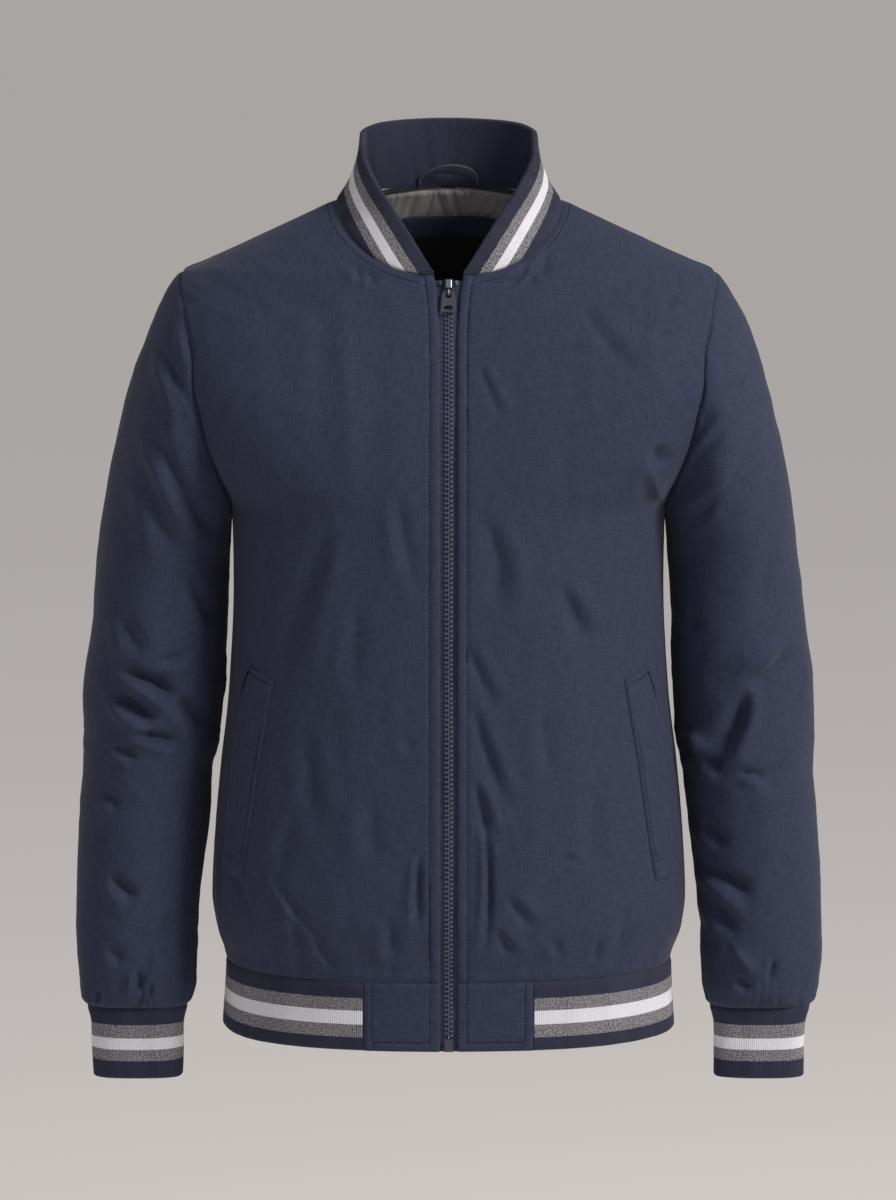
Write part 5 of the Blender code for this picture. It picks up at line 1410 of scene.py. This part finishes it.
# Painted highlight on the crown, the staple and the left stop; the plain enamel on the rest.
for name in ("zip_slider_crown", "zip_staple", "zip_pull", "zip_stop_left", "zip_stop_right", "zip_box"):
    node = bpy.data.objects[name]
    for place in node.material_slots:
        place.material = painted_highlight_zinc if name in ("zip_slider_crown", "zip_staple", "zip_stop_left") else metal

# ---- Inside the neck --------------------------------------------------------------------------
# Against the back: a strip of grey satin lining, a facing of the shell cloth with a curved top, a
# bare woven label on it, and a flat hanger loop sewn in with the collar.

FACING = table("height half_width", [
    (-0.085, 0.020),
    (-0.060, 0.046),
    (-0.030, 0.053),
    (-0.016, 0.044),
    (-0.0125, 0.030),
])
FACING_FLAT = (0.106, 0.067)
LINING_HALF_WIDTH = 0.062
LINING_ABOVE_SEAM = 0.0006
LINING_BOTTOM = -0.090
LABEL = (0.0270, -0.029, -0.065)
LOOP_HALF_SPAN = 0.0235

# Satin is smoother than the shell and takes a soft shine; the tape and the label are close matt weaves.
satin = woven("Grey satin lining", "767273", "918D8F", 0.0009, 0.40, 0.10, 0.4)
loop_cloth = woven("Slate hanger tape", "252D3A", "404B5A", 0.0007, 0.60, 0.15, 0.3)
label_cloth = woven("Black woven label", "0B0B0F", "17171D", 0.0006, 0.55, 0.10)


def behind(x, height, depth):
    """A point inside the back: across and up, and depth in from the body's outer face."""
    half_width, reach, power = outline_at(height, False)
    back_y = reach * np.clip(1 - np.abs(x / half_width) ** power, 0, 1) ** (1 / power)
    turn = 180 - np.degrees(np.arctan2(x, back_y))
    return body(turn, height) - depth[..., None] * body_out(turn, height)


def inner_piece(name, node, x, height, depth, wall_depth, surface, slot, flat, upon):
    """One cloth piece inside the back: its face towards the neck at depth, its back nearer the body."""
    face = behind(x, height, depth)
    under = behind(x, height, depth - wall_depth)[::2, ::2]
    made = cloth_wall(name, face, under, stack(x, height), [surface, surface])
    finish_piece(made, node, slot, flat=flat, held="hung", rests_on=[upon])


share, up = np.meshgrid(np.linspace(-1, 1, 101), np.linspace(0, 1, 65))
x = LINING_HALF_WIDTH * share
top = neckline(180 - np.degrees(np.arcsin(np.abs(x) / NECK_HALF_WIDTH)))[..., 2] + LINING_ABOVE_SEAM
height = top + (LINING_BOTTOM - top) * up
hang = x + 0.35 * (height - top) * np.sign(mottle(x, 0 * x, 0.02, 1, 1502))
below = top - height
folds = puckers(hang, below, 0.0115, 0.0016, 0.05, 1501) + puckers(hang, below, 0.006, 0.0007, 0.012, 1505)
slack = 0.0038 + folds + 0.0005 * mottle(x, height, 0.012, 0.02, 1503)
depth = SHELL_WALL - 0.0004 + slack * soft_step(below / 0.005)
inner_piece("back_neck_satin", "back_neck_lining", x, height, depth, 0.001, satin, "lining_satin",
            (2 * LINING_HALF_WIDTH, float((top - LINING_BOTTOM).max())), "back_cloth")

share, up = np.meshgrid(np.linspace(-1, 1, 73), np.linspace(0, 1, 49))
height = FACING["height"][-1] + (FACING["height"][0] - FACING["height"][-1]) * up
x = share * read(FACING, "half_width", height)
edge = np.minimum(1 - np.abs(share), np.minimum(up * 1.3, 1)) * 0.05
depth = (SHELL_WALL + 0.0062 + 0.0004 * mottle(x, height, 0.015, 0.015, 1601)
         - 0.0006 * np.exp(-(edge / 0.002) ** 2))
inner_piece("back_neck_facing_cloth", "back_neck_facing", x, height, depth, 0.001, shell, "shell_fabric",
            FACING_FLAT, "back_neck_satin")

half_width, label_top, label_bottom = LABEL
share, height = np.meshgrid(np.linspace(-1, 1, 41), np.linspace(label_top, label_bottom, 29))
depth = SHELL_WALL + 0.0078 + 0.0003 * mottle(share, height, 0.4, 0.01, 1701)
inner_piece("label_weave", "label", half_width * share, height, depth, 0.0007, label_cloth, "label_cloth",
            (2 * half_width, label_top - label_bottom), "back_neck_facing_cloth")

turn = np.linspace(0, math.pi, 61)
rise = np.sin(turn)
middle = stack(-LOOP_HALF_SPAN * np.cos(turn), 0.0545 - 0.0060 * rise, 0.0095 + 0.0128 * rise ** 0.7)
along = unit(np.gradient(middle, axis=0))
half_width = 0.0009 + 0.0040 * np.sin(math.pi * np.clip((turn / math.pi - 0.27) / 0.66, 0, 1))
across = half_width[:, None] * unit(np.cross(along, (0, 0.80, 0.60)))
share = np.linspace(-1, 1, 7)
out = unit(np.cross(along, across))
outer = middle[:, None] + share[:, None] * across[:, None] + 0.0003 * (1 - share[:, None] ** 2) * out[:, None]
inner = (middle[:, None] + share[:, None] * across[:, None] - 0.001 * out[:, None])[::2, ::2]
loop = cloth_wall("hanger_loop_tape", outer, inner, stack(share + 0 * turn[:, None], turn[:, None]),
                  [loop_cloth, loop_cloth])
finish_piece(loop, "hanger_loop", "zip_tape")

# ---- Studio -----------------------------------------------------------------------------------
# A plain pale floor, a large soft key light ahead and to the wearer's left, a weak fill on the
# other side and pale light from all round.

FLOOR_HEIGHT = -1.45
FLOOR_HALF_SIDE = 1500.0

corners = np.array([(-1, -1), (1, -1), (1, 1), (-1, 1)]) * FLOOR_HALF_SIDE
floor = set_mesh("floor", stack(corners[:, 0], corners[:, 1], FLOOR_HEIGHT), corners,
                 [(np.arange(4)[None], np.arange(4)[None], 0, False)],
                 [plain_surface("Matt pale floor", 0.9, "F9F4F1")])


def soft_light(name, place, size, power, colour):
    """A square area light that faces the middle of the jacket."""
    data = bpy.data.lights.new(name, "AREA")
    data.size, data.energy, data.color = size, power, linear(colour)[:3]
    light = bpy.data.objects.new(name, data)
    light.location = place
    away = np.array(place) - (0, 0, -0.32)
    turn = math.atan2(away[0], -away[1])
    light.rotation_euler = (math.atan2(math.hypot(away[0], away[1]), away[2]), 0, turn)
    bpy.context.scene.collection.objects.link(light)


soft_light("key", (2.7, -2.0, 2.15), 1.2, 180, "FFFAF6")
soft_light("fill", (-2.2, -3.0, 0.8), 2.4, 10, "F2F4FF")
world = bpy.data.worlds.new("Pale room")
bpy.context.scene.world = world
world.use_nodes = True
background = world.node_tree.nodes["Background"]
background.inputs["Color"].default_value = linear("E4E2E2")
background.inputs["Strength"].default_value = 0.54
bpy.context.scene.view_settings.view_transform = "Standard"

CAMERA_DISTANCE = 4.0
CAMERA_PITCH = math.radians(7)
LOOK_AT_HEIGHT = -0.3193
camera_data = bpy.data.cameras.new("camera")
camera_data.lens, camera_data.sensor_width = 150, 36
camera_data.clip_end = 5000
camera = bpy.data.objects.new("camera", camera_data)
camera.location = (-0.0005, -CAMERA_DISTANCE * math.cos(CAMERA_PITCH),
                   LOOK_AT_HEIGHT + CAMERA_DISTANCE * math.sin(CAMERA_PITCH))
camera.rotation_euler = (math.pi / 2 - CAMERA_PITCH, 0, 0)
bpy.context.scene.collection.objects.link(camera)
bpy.context.scene.camera = camera

bpy.context.view_layer.update()
